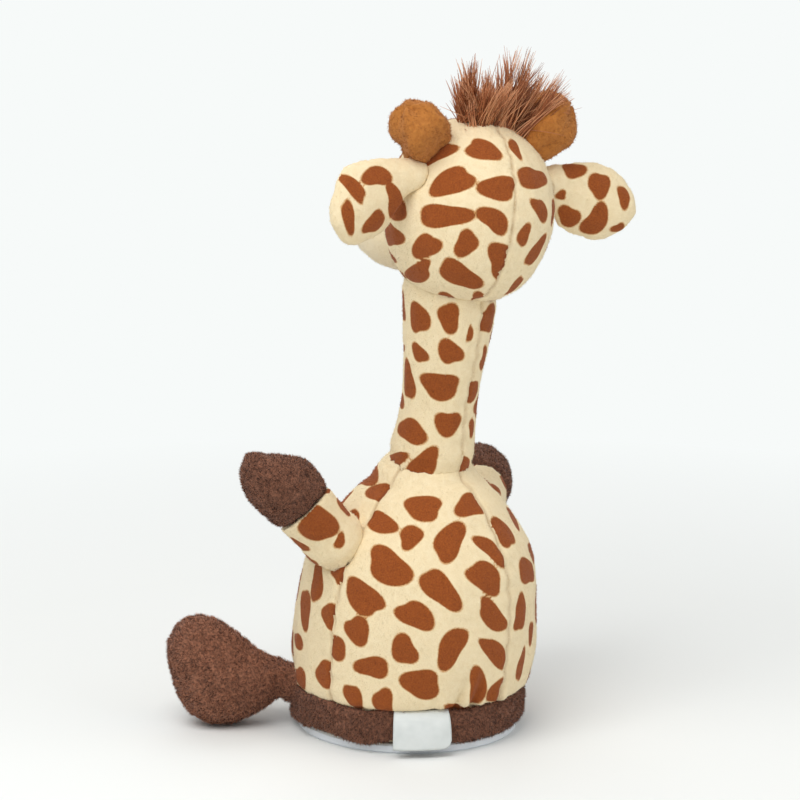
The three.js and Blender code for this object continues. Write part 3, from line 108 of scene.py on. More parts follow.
class Shade:
    """A shader socket that takes part in Python sums, and the one way to add a node"""

    def __init__(self, tree, socket=None):
        self.tree = tree
        self.socket = socket

    def node(self, kind, settings=None, inputs=None, output=0):
        made = self.tree.nodes.new("ShaderNode" + kind)
        for name, value in (settings or {}).items():
            if name != "stops":
                setattr(made, name, value)
                continue
            for i, (place, stop_colour) in enumerate(value):
                stops = made.color_ramp.elements
                stop = stops[i] if i < len(stops) else stops.new(place)
                stop.position = place
                stop.color = stop_colour
        for name, value in (inputs or {}).items():
            if isinstance(value, Shade):
                self.tree.links.new(value.socket, made.inputs[name])
            else:
                made.inputs[name].default_value = value
        return Shade(self.tree, made.outputs[output] if made.outputs else None)

    def sum_of(self, operation, *values):
        return self.node("Math", {"operation": operation}, dict(enumerate(values)))

    def __add__(self, other):
        return self.sum_of("ADD", self, other)

    def __sub__(self, other):
        return self.sum_of("SUBTRACT", self, other)

    def __rsub__(self, other):
        return self.sum_of("SUBTRACT", other, self)

    def __mul__(self, other):
        return self.sum_of("MULTIPLY", self, other)

    def __truediv__(self, other):
        return self.sum_of("DIVIDE", self, other)

    __radd__ = __add__
    __rmul__ = __mul__

    def share(self):
        """The value kept between 0 and 1"""
        return self.node("Clamp", inputs={0: self})


def blend_of(share, first, second, way="MIX"):
    """Two colours mixed by a share; at least one of the three is a socket"""
    socket = next(value for value in (share, first, second) if isinstance(value, Shade))
    return socket.node("Mix", {"data_type": "RGBA", "blend_type": way}, {0: share, 6: first, 7: second}, 2)


def nodes_of(owner):
    """The emptied node tree of a material or of the world"""
    owner.use_nodes = True
    owner.node_tree.nodes.clear()
    return Shade(owner.node_tree)


def material(name, look):
    """A material from a function that returns its Principled sockets"""
    made = bpy.data.materials.new(name)
    shade = nodes_of(made)
    surface = shade.node("BsdfPrincipled", inputs=look(shade))
    shade.node("OutputMaterial", inputs={"Surface": surface})
    return made


white, black = (1, 1, 1, 1), (0, 0, 0, 1)
background = colour(247, 250, 249)
floor_colour = colour(240, 242, 240)
floor_fade = (190 * mm, 420 * mm)
floor_half = 3000 * mm
floor_corners = [(x * floor_half, y * floor_half, 0) for x, y in ((-1, -1), (1, -1), (1, 1), (-1, 1))]
floor_data = bpy.data.meshes.new("floor")
floor_data.from_pydata(floor_corners, [], [(0, 1, 2, 3)])
floor = placed("floor", floor_data)
floor_material = bpy.data.materials.new("pale_floor")
floor_shade = nodes_of(floor_material)
floor_place = floor_shade.node("TexCoord", output="Object")
from_toy = floor_place.node("VectorMath", {"operation": "LENGTH"}, {0: floor_place}, "Value")
floor_far = ((from_toy - floor_fade[0]) / (floor_fade[1] - floor_fade[0])).share()
floor_seen = floor_shade.node("LightPath", output="Is Camera Ray")
floor_paper = floor_shade.node("BsdfDiffuse", inputs={"Color": floor_colour})
floor_white = floor_shade.node("Emission", inputs={"Color": background})
floor_hidden = floor_far * floor_seen
floor_surface = floor_shade.node("MixShader", inputs={0: floor_hidden, 1: floor_paper, 2: floor_white})
floor_shade.node("OutputMaterial", inputs={"Surface": floor_surface})
floor_data.materials.append(floor_material)

room_strength = 0.5
world = bpy.data.worlds.new("studio")
bpy.context.scene.world = world
room = nodes_of(world)
camera_rays, gloss_rays, through_rays = (
    room.node("LightPath", output=f"Is {kind} Ray") for kind in ("Camera", "Glossy", "Transmission")
)
shown_rays = (camera_rays + gloss_rays + through_rays).share()
room_light = room.node("Background", inputs={"Color": white, "Strength": room_strength})
room_seen = room.node("Background", inputs={"Color": background})
room_surface = room.node("MixShader", inputs={0: shown_rays, 1: room_light, 2: room_seen})
room.node("OutputWorld", inputs={"Surface": room_surface})


def lamp(name, bearing, rise, distance, size, power):
    """A square soft lamp aimed at the toy's middle"""
    data = bpy.data.lights.new(name, "AREA")
    data.size = size
    data.energy = power
    way = way_out(math.radians(bearing), math.radians(rise))
    made = placed(name, data)
    made.location = look_at + distance * way
    made.rotation_euler = (-way).to_track_quat("-Z", "Y").to_euler()


lamp("key_lamp", bearing=108, rise=52, distance=900 * mm, size=700 * mm, power=5.6)
lamp("fill_lamp", bearing=196, rise=30, distance=1100 * mm, size=900 * mm, power=2.2)
lamp("front_lamp", bearing=-30, rise=40, distance=1100 * mm, size=900 * mm, power=2.6)


# Base: the moulded plate that the toy stands on, its battery door, and the switch's knob and case.
# Pale blue-grey plastic with the fine bloom of a spark-eroded mould, and black for the switch.
def grain_of(shade, size, detail=2):
    """Even noise with features of one size"""
    place = shade.node("TexCoord", output="Object")
    return shade.node("TexNoise", inputs={"Vector": place, "Scale": 1 / size, "Detail": detail}, output=0)


def bump_of(height, depth):
    """Relief of a depth in metres, from a height between 0 and 1"""
    return height.node("Bump", inputs={"Strength": 1, "Distance": depth, "Height": height})


def dimmed(tint, share):
    """A colour darkened to a share of its light"""
    return (*[c * share for c in tint[:3]], 1)


flow_size = 12 * mm
flow_light = 0.9
flow_dulling = 0.12


def moulded(tint, roughness, eroded=0.35 * mm, depth=0.02 * mm):
    """Moulded plastic: erosion grain, faint flow shades and rubbed patches"""
    def look(shade):
        flow = grain_of(shade, flow_size)
        return {
            "Base Color": blend_of(flow, dimmed(tint, flow_light), tint),
            "Roughness": flow * flow_dulling + (roughness - flow_dulling / 2),
            "Normal": bump_of(grain_of(shade, eroded), depth),
        }
    return look


def dress(look_name, look, *nodes):
    """Gives carried-over CAD nodes one procedural material"""
    made = material(look_name, look)
    for node in nodes:
        data = frame["nodes"][node].data
        data.materials.clear()
        data.materials.append(made)


dress("base_plastic", moulded(colour(230, 235, 240), roughness=0.42), "base_plate", "battery_door")
dress("black_plastic", moulded(colour(38, 38, 40), roughness=0.5), "switch_knob", "switch_housing")

# Works: housing halves, gearbox frame and gears under the covers, with their pins and screws.
# White ABS housing, milky acetal gears, zinc-plated steel pins, tube and screws.
steel_rough = (0.22, 0.4)
drawn_fineness, drawn_depth = 8, 0.005 * mm


def plated(tint, wear=2 * mm):
    """Plated metal with fine drawn grain and dulled patches"""
    def look(shade):
        patch = grain_of(shade, wear)
        low, high = steel_rough
        return {
            "Base Color": tint,
            "Metallic": 1,
            "Roughness": patch * (high - low) + low,
            "Normal": bump_of(grain_of(shade, wear / drawn_fineness), drawn_depth),
        }
    return look


dress(
    "housing_plastic", moulded(colour(226, 226, 220), roughness=0.48), "housing_front", "housing_rear",
    "gearbox_frame", "head_disc",
)
dress(
    "gear_plastic", moulded(colour(236, 232, 214), roughness=0.32), "worm", "compound_wheel", "crank_wheel",
    "neck_rocker",
)
dress(
    "steel", plated(colour(196, 198, 202)), "pivot_pin", "compound_axle", "crank_axle", "motor_shaft",
    "neck_tube", *[f"housing_screw_{i}" for i in range(1, 5)], "seam_screw_left", "seam_screw_right",
    "door_screw",
)

# Electrics: motor, three cells and their contacts, speaker, microphone and circuit board.
# Drawn metal can and contacts, foil-sleeved cells, dark speaker and microphone, and a green lacquered board.
cell_band = 9 * mm
foil_wear, foil_grain, foil_depth = 4 * mm, 0.3 * mm, 0.004 * mm
track_scale, track_waver, track_depth = 260, 6, 0.03 * mm


def cell_sleeve(shade):
    """Foil sleeve of a plain cell: a dark body and a copper band"""
    place = shade.node("TexCoord", output="Object")
    along = shade.node("SeparateXYZ", inputs={0: place}, output="Y")
    band = shade.sum_of("GREATER_THAN", along, middle.y + cell_band)
    worn = grain_of(shade, foil_wear)
    return {
        "Base Color": blend_of(band, colour(52, 54, 60), colour(184, 124, 74)),
        "Metallic": band * 0.9,
        "Roughness": worn * 0.15 + 0.25,
        "Normal": bump_of(grain_of(shade, foil_grain), foil_depth),
    }


def lacquer(shade):
    """Solder-resist lacquer over fine copper tracks"""
    place = shade.node("TexCoord", output="Object")
    tracks = shade.node(
        "TexWave", inputs={"Vector": place, "Scale": track_scale, "Distortion": track_waver}, output=1,
    )
    return {
        "Base Color": blend_of(tracks, colour(20, 82, 48), colour(38, 112, 66)),
        "Roughness": tracks * 0.1 + 0.3,
        "Normal": bump_of(tracks, track_depth),
    }


dress("motor_can", plated(colour(206, 208, 210), wear=3 * mm), "motor")
dress("contact_metal", plated(colour(214, 206, 180), wear=1.5 * mm), "contact_front", "contact_rear")
dress("cell_sleeve", cell_sleeve, *[f"battery_cell_{i}" for i in range(1, 4)])
dress("board_lacquer", lacquer, "circuit_board")
dress(
    "speaker_body", moulded(colour(58, 58, 62), roughness=0.55, eroded=0.5 * mm, depth=0.05 * mm),
    "speaker", "microphone",
)

# Body cover: spotted short-pile plush sewn from a front and two back panels, stuffed firm.
# Its seams run down the left side, the middle of the back and the right side.
full_turn = 360
body_net = 0.95 * mm
body_rounding = 8
body_lean = math.tan(math.radians(6))
body_seams = (2, 93, 181)
seam_width, seam_depth = 0.65 * mm, 0.45 * mm
gather_length, gather_depth, gather_reach = 6.5 * mm, 0.28 * mm, 4 * mm
no_seam = 1.0
sewn_depth = 0.9 * mm
hollow_step, hollow_reach = 0.4 * mm, 90 * mm


def points_of(cloth, kind="co"):
    values = np.empty(len(cloth.vertices) * 3)
    if kind == "co":
        cloth.vertices.foreach_get("co", values)
    else:
        cloth.vertex_normals.foreach_get("vector", values)
    return values.reshape(-1, 3)


def set_points(cloth, co):
    cloth.vertices.foreach_set("co", co.ravel())
    cloth.update()


def tree_of(cloth):
    return BVHTree.FromPolygons([v.co for v in cloth.vertices], [tuple(p.vertices) for p in cloth.polygons])


def outside_of(cloth):
    """Which points are on the outside, and not on the walls of the cover's inner hollow"""
    tree = tree_of(cloth)
    normals = points_of(cloth, "normal")
    starts = points_of(cloth) + normals * hollow_step
    hits = [tree.ray_cast(Vector(start), Vector(way), hollow_reach)[0] for start, way in zip(starts, normals)]
    return np.array([hit is None for hit in hits])


def keep(cloth, name, values):
    """Stores one number per point for the shader"""
    made = cloth.attributes.new(name, "FLOAT", "POINT")
    made.data.foreach_set("value", np.asarray(values, dtype=np.float32))


def sewn_into(cloth, tree, reach):
    """Draws a cover's edge into the piece that it is sewn to, so that the two meet in a crease"""
    co = points_of(cloth)
    for i, point in enumerate(co):
        hit, normal, _, away = tree.find_nearest(Vector(point), reach)
        if hit and normal.dot(Vector(point) - hit) > 0:
            co[i] -= np.array(normal) * (away + sewn_depth) * (1 - away / reach)
    set_points(cloth, co)


def stuffed(name, node, net, rounding, form=None, sewn_to=()):
    """A CAD cover copied, remeshed to an even net, rounded as its cloth is once it is filled, and sewn on"""
    made = placed(name, frame["nodes"][node].data.copy())
    remesh = made.modifiers.new("net", "REMESH")
    remesh.mode = "VOXEL"
    remesh.voxel_size = net
    smooth = made.modifiers.new("rounding", "SMOOTH")
    smooth.factor = 0.5
    smooth.iterations = rounding
    evaluated = made.evaluated_get(bpy.context.evaluated_depsgraph_get())
    cloth = bpy.data.meshes.new_from_object(evaluated)
    made.modifiers.clear()
    made.data = cloth
    cloth.name = name
    cloth.materials.clear()
    cloth.shade_smooth()
    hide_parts(node)
    if form:
        form(cloth)
    for tree, reach in sewn_to:
        sewn_into(cloth, tree, reach)
    return made


def ripple(co, size, seed=0.0):
    """Smooth noise over the points, with features of one size"""
    return np.array([noise.noise(Vector(c) / size + Vector((seed, 0, 0))) for c in co])


def puff(cloth, moves):
    """Moves each point along its normal"""
    set_points(cloth, points_of(cloth) + points_of(cloth, "normal") * np.asarray(moves)[:, None])


def sewn(away, run, seed):
    """How far the cloth is pulled in along a seam: a groove, and puckers that fade beside it"""
    groove = -seam_depth * np.exp(-((away / seam_width) ** 2))
    gathers = np.sin(run * (2 * math.pi / gather_length) + seed) * np.exp(-((away / gather_reach) ** 2))
    return groove + gather_depth * gathers


def around_axis(co, axis_at, lean):
    """Bearing in degrees and distance of the points from a leaning axis"""
    x = co[:, 0] - axis_at.x
    y = co[:, 1] - axis_at.y - co[:, 2] * lean
    return np.degrees(np.arctan2(y, x)), np.hypot(x, y)


def half_turns(bearings):
    """Bearings brought to within half a turn of zero"""
    return (bearings + full_turn / 2) % full_turn - full_turn / 2


def seam_gap(bearings, radii, seam):
    """Distance round the surface from a seam at one bearing"""
    return np.abs(np.radians(half_turns(bearings - seam))) * radii


def photo_ray(across, down):
    """The ray through a pixel of the photograph"""
    half = photo_size / 2
    way = photo_right * (across - half) / photo_focal - photo_up * (down - half) / photo_focal - to_photo
    return way.normalized()


spot_fit = 0.93
spot_reach = 4 * mm
spot_slips = np.linspace(0, 0.4, 41)
spot_steepest = 0.45


def seen_spots(cloth, spots):
    """Spots of the photograph laid on a cover: pixel, half length and half width in mm, tilt in degrees"""
    co, normals = points_of(cloth), points_of(cloth, "normal")
    tree = tree_of(cloth)
    centre = Vector(co.mean(axis=0)) - photo_eye
    depth = -centre.dot(to_photo)
    home = (photo_size / 2 + photo_focal * centre.dot(photo_right) / depth,
            photo_size / 2 - photo_focal * centre.dot(photo_up) / depth)
    laid = []
    for across, down, length, width, tilt in spots:
        for slip in spot_slips:
            way = photo_ray(across + (home[0] - across) * slip, down + (home[1] - down) * slip)
            hit, hit_normal, _, _ = tree.ray_cast(photo_eye, way)
            if hit:
                break
        else:
            continue
        near = np.linalg.norm(co - np.array(hit), axis=1) < spot_reach
        near &= normals @ np.array(hit_normal) > 0
        normal = Vector(normals[near].mean(axis=0)).normalized()
        turn = math.radians(tilt)
        long_way = photo_right * math.cos(turn) - photo_up * math.sin(turn)
        cross_way = photo_right * math.sin(turn) + photo_up * math.cos(turn)
        facing = max(normal.dot(to_photo), spot_steepest)
        axes = [
            size * spot_fit * mm * (way_in - to_photo * (way_in.dot(normal) / facing))
            for way_in, size in ((long_way, length), (cross_way, width))
        ]
        laid.append((hit, normal, *axes))
    return laid


spot_tries = 2600
spot_sizes = (3.6 * mm, 7.2 * mm)
spot_slimness = (0.58, 0.85)
spot_room = 2.1 * mm
spot_shown = 0.2
spot_window = 3
spot_side = 0.1
spot_depth = 4.5 * mm
spot_lobes = ((2, 0.11), (3, 0.12))
spot_phases = (0, 6)
spot_squareness = 2.4
spot_none = 9 * mm


def printed(cloth, outside, seen, seed, panels, tries):
    """Signed distance in mm to the nearest printed spot, negative inside one; a seam cuts a spot off"""
    rng = np.random.default_rng(seed)
    co, normals = points_of(cloth), points_of(cloth, "normal")
    laid = list(seen)
    homes = [(np.array(hit), math.sqrt(a.length * b.length)) for hit, _, a, b in laid]
    for i in rng.choice(np.flatnonzero(outside), tries):
        size, slim, turn = rng.uniform(*spot_sizes), rng.uniform(*spot_slimness), rng.uniform(0, math.pi)
        if seen and normals[i] @ np.array(to_photo) > spot_shown:
            continue
        reach = size * math.sqrt(slim)
        if any(np.linalg.norm(co[i] - home) < reach + other + spot_room for home, other in homes):
            continue
        normal = Vector(normals[i])
        side = normal.orthogonal().normalized()
        side.rotate(Matrix.Rotation(turn, 3, normal))
        laid.append((Vector(co[i]), normal, side * size, normal.cross(side) * size * slim))
        homes.append((co[i], reach))
    nearest = np.full(len(co), spot_none)
    for hit, normal, a, b in laid:
        away = co - np.array(hit)
        far = np.linalg.norm(away, axis=1)
        near = far < spot_window * max(a.length, b.length)
        near &= np.abs(panels - panels[np.argmin(far)]) < full_turn / 2
        near &= normals @ np.array(normal) > spot_side
        near &= np.abs(away @ np.array(normal)) < spot_depth
        away = away[near]
        aa, ab, bb = a.dot(a), a.dot(b), b.dot(b)
        pa, pb = away @ np.array(a), away @ np.array(b)
        u = (pa * bb - pb * ab) / (aa * bb - ab * ab)
        v = (pb * aa - pa * ab) / (aa * bb - ab * ab)
        turn = np.arctan2(v, u)
        shape = 1
        for lobes, size in spot_lobes:
            shape = shape + size * np.sin(lobes * turn + rng.uniform(*spot_phases))
        rounded = np.abs(u) ** spot_squareness + np.abs(v) ** spot_squareness
        edge = rounded ** (1 / spot_squareness) / shape - 1
        reach = math.sqrt(a.length * b.length)
        nearest[near] = np.minimum(nearest[near], edge * reach)
    return nearest / mm


cream = colour(244, 229, 195)
spot_brown = colour(132, 62, 8)
spot_rubbed = colour(164, 86, 24)
spot_halo = colour(200, 146, 88)
nap_shadow = colour(240, 232, 218)
seam_shadow = colour(170, 140, 108)
nap_size, nap_depth = 0.45 * mm, 0.15 * mm
ink_at, halo_at, bare_at = 0.3, 0.42, 0.6
plush_finish = {"Roughness": 0.95, "Sheen Weight": 0.05, "Sheen Roughness": 0.5}


def spotted_plush(shade):
    """Short velvety pile, printed: brown spots with a thin tan edge on cream, with painted shade in the
    hollows of the nap and along the seams
    """
    spot = shade.node("Attribute", {"attribute_name": "print"}, output="Fac")
    seam = shade.node("Attribute", {"attribute_name": "seam"}, output="Fac")
    nap = grain_of(shade, nap_size, 3)
    tuft = grain_of(shade, 4 * nap_size)
    relief = nap * 0.6 + tuft * 0.8
    edge = ((spot + nap * 0.5 + 0.25) * 0.4 + 0.2).share()
    rim_stops = [(ink_at, black), (halo_at, spot_halo), (bare_at, cream)]
    rim = shade.node("ValToRGB", {"stops": rim_stops}, {0: edge})
    inked = shade.node("ValToRGB", {"stops": [(ink_at, white), (halo_at, black)]}, {0: edge})
    print_seen = blend_of(inked, rim, blend_of((nap * 1.8 - 0.4).share(), spot_brown, spot_rubbed))
    napped = blend_of((relief - 0.35).share(), blend_of(1, print_seen, nap_shadow, "MULTIPLY"), print_seen)
    return {
        "Base Color": blend_of(seam * 0.6, napped, blend_of(1, print_seen, seam_shadow, "MULTIPLY")),
        **plush_finish,
        "Normal": bump_of(relief, nap_depth),
    }


fibre_lengths = (0.6, 1.15)
fibre_corners = (0, 2.094, 4.189)  # thirds of a turn
clump_pull, clump_apart = 1.6, 13.7


def pile(name, cloth, chosen, height, width, per_area, comb, look, seed, flare, clump=None):
    """Fibres of one colour, rooted in the chosen points' cloth, lying along comb and clear of the table"""
    rng = np.random.default_rng(seed)
    co, normals = points_of(cloth), points_of(cloth, "normal")
    cloth.calc_loop_triangles()
    corners = np.empty(len(cloth.loop_triangles) * 3, dtype=np.int32)
    cloth.loop_triangles.foreach_get("vertices", corners)
    corners = corners.reshape(-1, 3)
    corners = corners[np.all(chosen[corners], axis=1)]
    a, b, c = (co[corners[:, i]] for i in range(3))
    areas = np.linalg.norm(np.cross(b - a, c - a), axis=1) / 2
    count = int(areas.sum() / mm ** 2 * per_area)
    picked = corners[rng.choice(len(corners), count, p=areas / areas.sum())]
    shares = rng.dirichlet((1, 1, 1), count)
    roots = np.einsum("ij,ijk->ik", shares, co[picked])
    up = np.einsum("ij,ijk->ik", shares, normals[picked])
    up /= np.linalg.norm(up, axis=1)[:, None]
    nap = np.broadcast_to(np.asarray(comb, dtype=float), roots.shape)
    nap = nap - up * np.sum(nap * up, axis=1)[:, None]
    way = up + nap + rng.normal(0, flare, roots.shape)
    if clump:
        way += clump_pull * np.stack([ripple(roots, clump, clump_apart * i) for i in range(3)], axis=1)
    way /= np.linalg.norm(way, axis=1)[:, None]
    side = np.cross(way, rng.normal(0, 1, roots.shape))
    side /= np.linalg.norm(side, axis=1)[:, None]
    third = np.cross(way, side)
    tall = height * rng.uniform(*fibre_lengths, count)[:, None]
    roots = roots - up * width
    ring = [roots + width * (math.cos(turn) * side + math.sin(turn) * third) for turn in fibre_corners]
    fibres = np.stack([*ring, roots + way * tall], axis=1)
    fibres = fibres[fibres[:, :, 2].min(axis=1) > 0]
    points = fibres.reshape(-1, 3)
    first = np.arange(len(fibres))[:, None] * 4
    faces = np.concatenate([first + [0, 1, 3], first + [1, 2, 3], first + [2, 0, 3], first + [0, 2, 1]])
    mesh = bpy.data.meshes.new(name)
    mesh.vertices.add(len(points))
    mesh.vertices.foreach_set("co", points.ravel())
    mesh.loops.add(faces.size)
    mesh.loops.foreach_set("vertex_index", faces.ravel().astype(np.int32))
    mesh.polygons.add(len(faces))
    mesh.polygons.foreach_set("loop_start", np.arange(len(faces), dtype=np.int32) * 3)
    mesh.update(calc_edges=True)
    mesh.shade_smooth()
    mesh.materials.append(look)
    return placed(name, mesh)


def fibre(tint):
    """Acrylic pile fibre, soft and matt"""
    def look(shade):
        return {"Base Color": tint, "Roughness": 0.9, "Sheen Weight": 0.04, "Sheen Roughness": 0.5}
    return look


plush = material("spotted_plush", spotted_plush)
cream_fibre = material("cream_fibre", fibre(cream))
brown_fibre = material("brown_fibre", fibre(spot_rubbed))
pile_height, pile_width = 0.7 * mm, 0.075 * mm
pile_per_area = 1.6
pile_flare = 0.4
pile_overlap = 0.1
print_overrun = 2.5
print_well_in = -9.0
seam_shade_reach = 0.5 * mm
inner_room = 1.3 * mm


def everywhere(normals):
    """Printed all over: each point lies well inside the printed part, as the distance in mm says"""
    return np.full(len(normals), print_well_in)


def spotted_cover(name, node, net, rounding, *, shape, spots, comb, hold, seed, where=everywhere,
                  seams=None, sewn_to=(), form=None, tries=spot_tries):
    """One cover of printed plush: cloth, seams and puckers, spots and pile, held as its piece is"""
    made = stuffed(name, node, net, rounding, form, sewn_to)
    cloth = made.data
    co = points_of(cloth)
    outside = outside_of(cloth)
    seam_away, panels = seams(co) if seams else (np.full(len(co), no_seam), np.zeros(len(co)))
    puff(cloth, np.where(outside, shape(co), inner_room))
    bare = where(points_of(cloth, "normal"))
    ink = printed(cloth, outside & (bare < 0), seen_spots(cloth, spots), seed, panels, tries)
    ink = np.maximum(ink, bare - print_overrun)
    keep(cloth, "print", ink)
    # The seam attribute is the mask of the shade painted along the seams, where seam_shadow is multiplied in
    keep(cloth, "seam", np.exp(-((seam_away / seam_shade_reach) ** 2)))
    cloth.materials.append(plush)
    pieces = [made]
    for tint, chosen in (("cream", outside & (ink > 0)), ("brown", outside & (ink < pile_overlap))):
        pieces.append(pile(
            f"{name}_pile_{tint}", cloth, chosen, pile_height, pile_width, pile_per_area, comb,
            cream_fibre if tint == "cream" else brown_fibre, seed, pile_flare,
        ))
    for piece in pieces:
        hold(piece)


fold_size, fold_depth = 17 * mm, 0.7 * mm
dimple_size, dimple_depth = 6 * mm, 0.15 * mm


def creased(co, fold_seed, dimple_seed, folds=1, dimples=1):
    """The soft folds and dimples of stuffed cloth"""
    soft_folds = ripple(co, fold_size, fold_seed) * fold_depth * folds
    return soft_folds + ripple(co, dimple_size, dimple_seed) * dimple_depth * dimples


body_tucks = (
    (76, 30, 1.5), (84, 27, 1.3), (98, 24, 1.2), (62, 22, 0.6), (25, 22, 0.7), (-40, 24, 0.9), (150, 26, 1.1),
)
tuck_slant = 0.25
tuck_ridge, tuck_valley, tuck_spread = 1.3 * mm, 2.4 * mm, 4.2 * mm
tuck_sink = 0.6
tuck_fade = 0.45
tuck_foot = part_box("hem_band")[1][2] - 1.5 * mm
tuck_ease = 3 * mm
body_spots = (
    (382, 494, 5.1, 3.3, 6), (423, 507, 6.4, 3.7, 3), (472, 505, 4.9, 3.8, 15), (382, 523, 5.3, 3.0, 27),
    (513, 518, 4.7, 1.3, 69), (411, 537, 4.3, 3.1, -34), (504, 532, 5.9, 2.3, 59), (450, 541, 6.4, 4.5, -51),
    (491, 550, 6.4, 2.3, 43), (339, 560, 4.3, 2.1, -57), (389, 567, 7.8, 5.1, 27), (528, 571, 4.7, 2.8, 77),
    (317, 581, 6.5, 2.0, -85), (486, 578, 6.7, 4.0, 37), (363, 597, 7.8, 4.2, 43), (441, 590, 7.8, 4.4, 51),
    (305, 609, 6.5, 2.0, 87), (416, 616, 6.6, 4.0, 35), (493, 616, 6.8, 3.0, 50), (521, 613, 6.5, 1.7, -82),
    (357, 631, 5.1, 3.6, 58), (531, 633, 3.6, 1.1, -87), (297, 641, 3.1, 1.8, 66), (330, 617, 4.1, 3.0, 70),
    (335, 647, 4.1, 3.4, 50), (325, 675, 4.3, 3.4, 60), (452, 648, 6.9, 4.1, -58), (404, 650, 4.7, 4.2, 76),
    (495, 653, 6.8, 2.7, 54), (372, 667, 5.1, 3.7, 10), (521, 665, 5.5, 1.2, -81), (300, 678, 4.0, 2.1, 67),
    (421, 684, 6.4, 4.7, -3), (477, 686, 6.0, 3.1, -86), (498, 691, 4.6, 2.5, -63), (353, 698, 4.3, 2.7, 69),
    (383, 704, 4.3, 3.4, 63), (459, 711, 5.8, 2.6, 26), (352, 521, 3.8, 2.2, 60), (360, 536, 3.6, 2.4, -20),
)
body_nap = (0, 0, -0.9)


def body_seam_run(co):
    """Distance from the nearest side or back seam, and the panel that a point is on, a turn apart"""
    bearings, radii = around_axis(co, middle, body_lean)
    away = np.min([seam_gap(bearings, radii, seam) for seam in body_seams], axis=0)
    return away, np.searchsorted(body_seams, bearings % full_turn) % len(body_seams) * full_turn


def body_shape(co):
    """Folds, seams and the tucks that gather the cloth above the hem: bearing, height and depth in mm"""
    bearings, radii = around_axis(co, middle, body_lean)
    moves = creased(co, 0, 5)
    for seam in body_seams:
        moves += sewn(seam_gap(bearings, radii, seam), co[:, 2], seam)
    for bearing, height, depth in body_tucks:
        away = np.radians(half_turns(bearings - bearing - (co[:, 2] - height * mm) / mm * tuck_slant)) * radii
        fade = np.clip((height * mm - co[:, 2]) / (height * mm * tuck_fade), 0, 1)
        fade *= np.clip((co[:, 2] - tuck_foot) / tuck_ease, 0, 1)
        ridge = np.exp(-((away / tuck_ridge) ** 2))
        valley = np.exp(-(((away + tuck_valley) / tuck_ridge) ** 2))
        sink = np.exp(-((away / tuck_spread) ** 2)) * tuck_sink
        moves += depth * mm * fade * (ridge - (valley + sink))
    return moves


spotted_cover(
    "body", "body_cover", body_net, body_rounding, shape=body_shape, spots=body_spots, comb=body_nap,
    hold=lambda piece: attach(piece, "base"), seed=11, seams=body_seam_run,
)

# Hem: a band of brown plush sewn round the foot of the cover, over the rim of the plate.
# Its pile is longer and coarser than the printed cloth's, and lies in small clumps.
brown_net = 0.85 * mm
brown_rounding = 6
brown_root = colour(66, 38, 26)
brown_tints = {"dark": colour(74, 42, 28), "light": colour(154, 102, 76)}
clump_size = 1.8 * mm
brown_width = 0.1 * mm
brown_per_area = 3.2
brown_flare = 0.3
brown_swell, brown_relief = 0.4 * mm, 0.5 * mm


def brown_plush(root, rubbed):
    """The brown cloth between the fibres: dark, with paler rubbed clumps"""
    def look(shade):
        clumps = grain_of(shade, clump_size / 2, 4)
        return {
            "Base Color": blend_of((clumps * 1.6 - 0.4).share(), root, rubbed),
            **plush_finish,
            "Normal": bump_of(clumps, brown_relief),
        }
    return look


brown_cloth = material("brown_plush", brown_plush(brown_root, brown_tints["light"]))
brown_looks = {tint: material(f"{tint}_brown_fibre", fibre(shown)) for tint, shown in brown_tints.items()}


def brown_cover(name, node, height, *, comb, hold, seed, sewn_to=(), form=None, wander=None,
                root=brown_cloth, looks=brown_looks):
    """One stuffed piece of the long brown plush: cloth, swelling clumps and pile, kept above the table"""
    made = stuffed(name, node, brown_net, brown_rounding, form, sewn_to)
    cloth = made.data
    outside = outside_of(cloth)
    if wander:
        wander(cloth)
    puff(cloth, np.where(outside, ripple(points_of(cloth), clump_size * 2, seed) * brown_swell, 0))
    co = points_of(cloth)
    co[:, 2] = np.maximum(co[:, 2], 0)
    set_points(cloth, co)
    cloth.materials.append(root)
    pieces = [made]
    for i, (tint, look) in enumerate(looks.items()):
        pieces.append(pile(
            f"{name}_pile_{tint}", cloth, outside, height, brown_width, brown_per_area, comb, look, seed + i,
            brown_flare, clump_size,
        ))
    for piece in pieces:
        hold(piece)


hem_pile = 1.2 * mm
hem_wave, hem_wave_length = 1.5 * mm, 11 * mm
hem_nap = (0, 0, -0.6)
hem_seed = 31


def hem_wanders(cloth):
    """The band's edges wander up and down round the toy"""
    co = points_of(cloth)
    co[:, 2] += ripple(co * (1, 1, 0), hem_wave_length, hem_seed) * hem_wave
    set_points(cloth, co)


brown_cover(
    "hem", "hem_band", hem_pile, comb=hem_nap, hold=lambda piece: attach(piece, "base"), seed=hem_seed,
    wander=hem_wanders,
)

# Care label: a bare white satin tape sewn into the seam above the hem, hanging over it.
# It is cut square with one corner rounded, and it bows out over the pile.
label_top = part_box("care_label")[1][2]
label_width, label_length = 18 * mm, 11.9 * mm
label_thick = 0.25 * mm
label_bearing = math.radians(52)
label_radius = 39.2 * mm
label_bow = 1.1 * mm
label_tuck, label_tuck_bend, label_rise = 2.4 * mm, 6, 1.3 * mm
label_corner = 2.6 * mm
label_across, label_down = 28, 16
tape_threads, tape_crease, tape_relief = 900, 5 * mm, 0.03 * mm


def tape(shade):
    """Woven satin: fine cross threads and soft creases"""
    place = shade.node("TexCoord", output="Object")
    threads = shade.node("TexWave", {"bands_direction": "Z"}, {"Vector": place, "Scale": tape_threads}, 1)
    crease = grain_of(shade, tape_crease)
    return {
        "Base Color": blend_of(crease, colour(198, 204, 202), colour(226, 229, 227)),
        "Roughness": threads * 0.15 + 0.45,
        "Normal": bump_of(threads + crease * 6, tape_relief),
    }


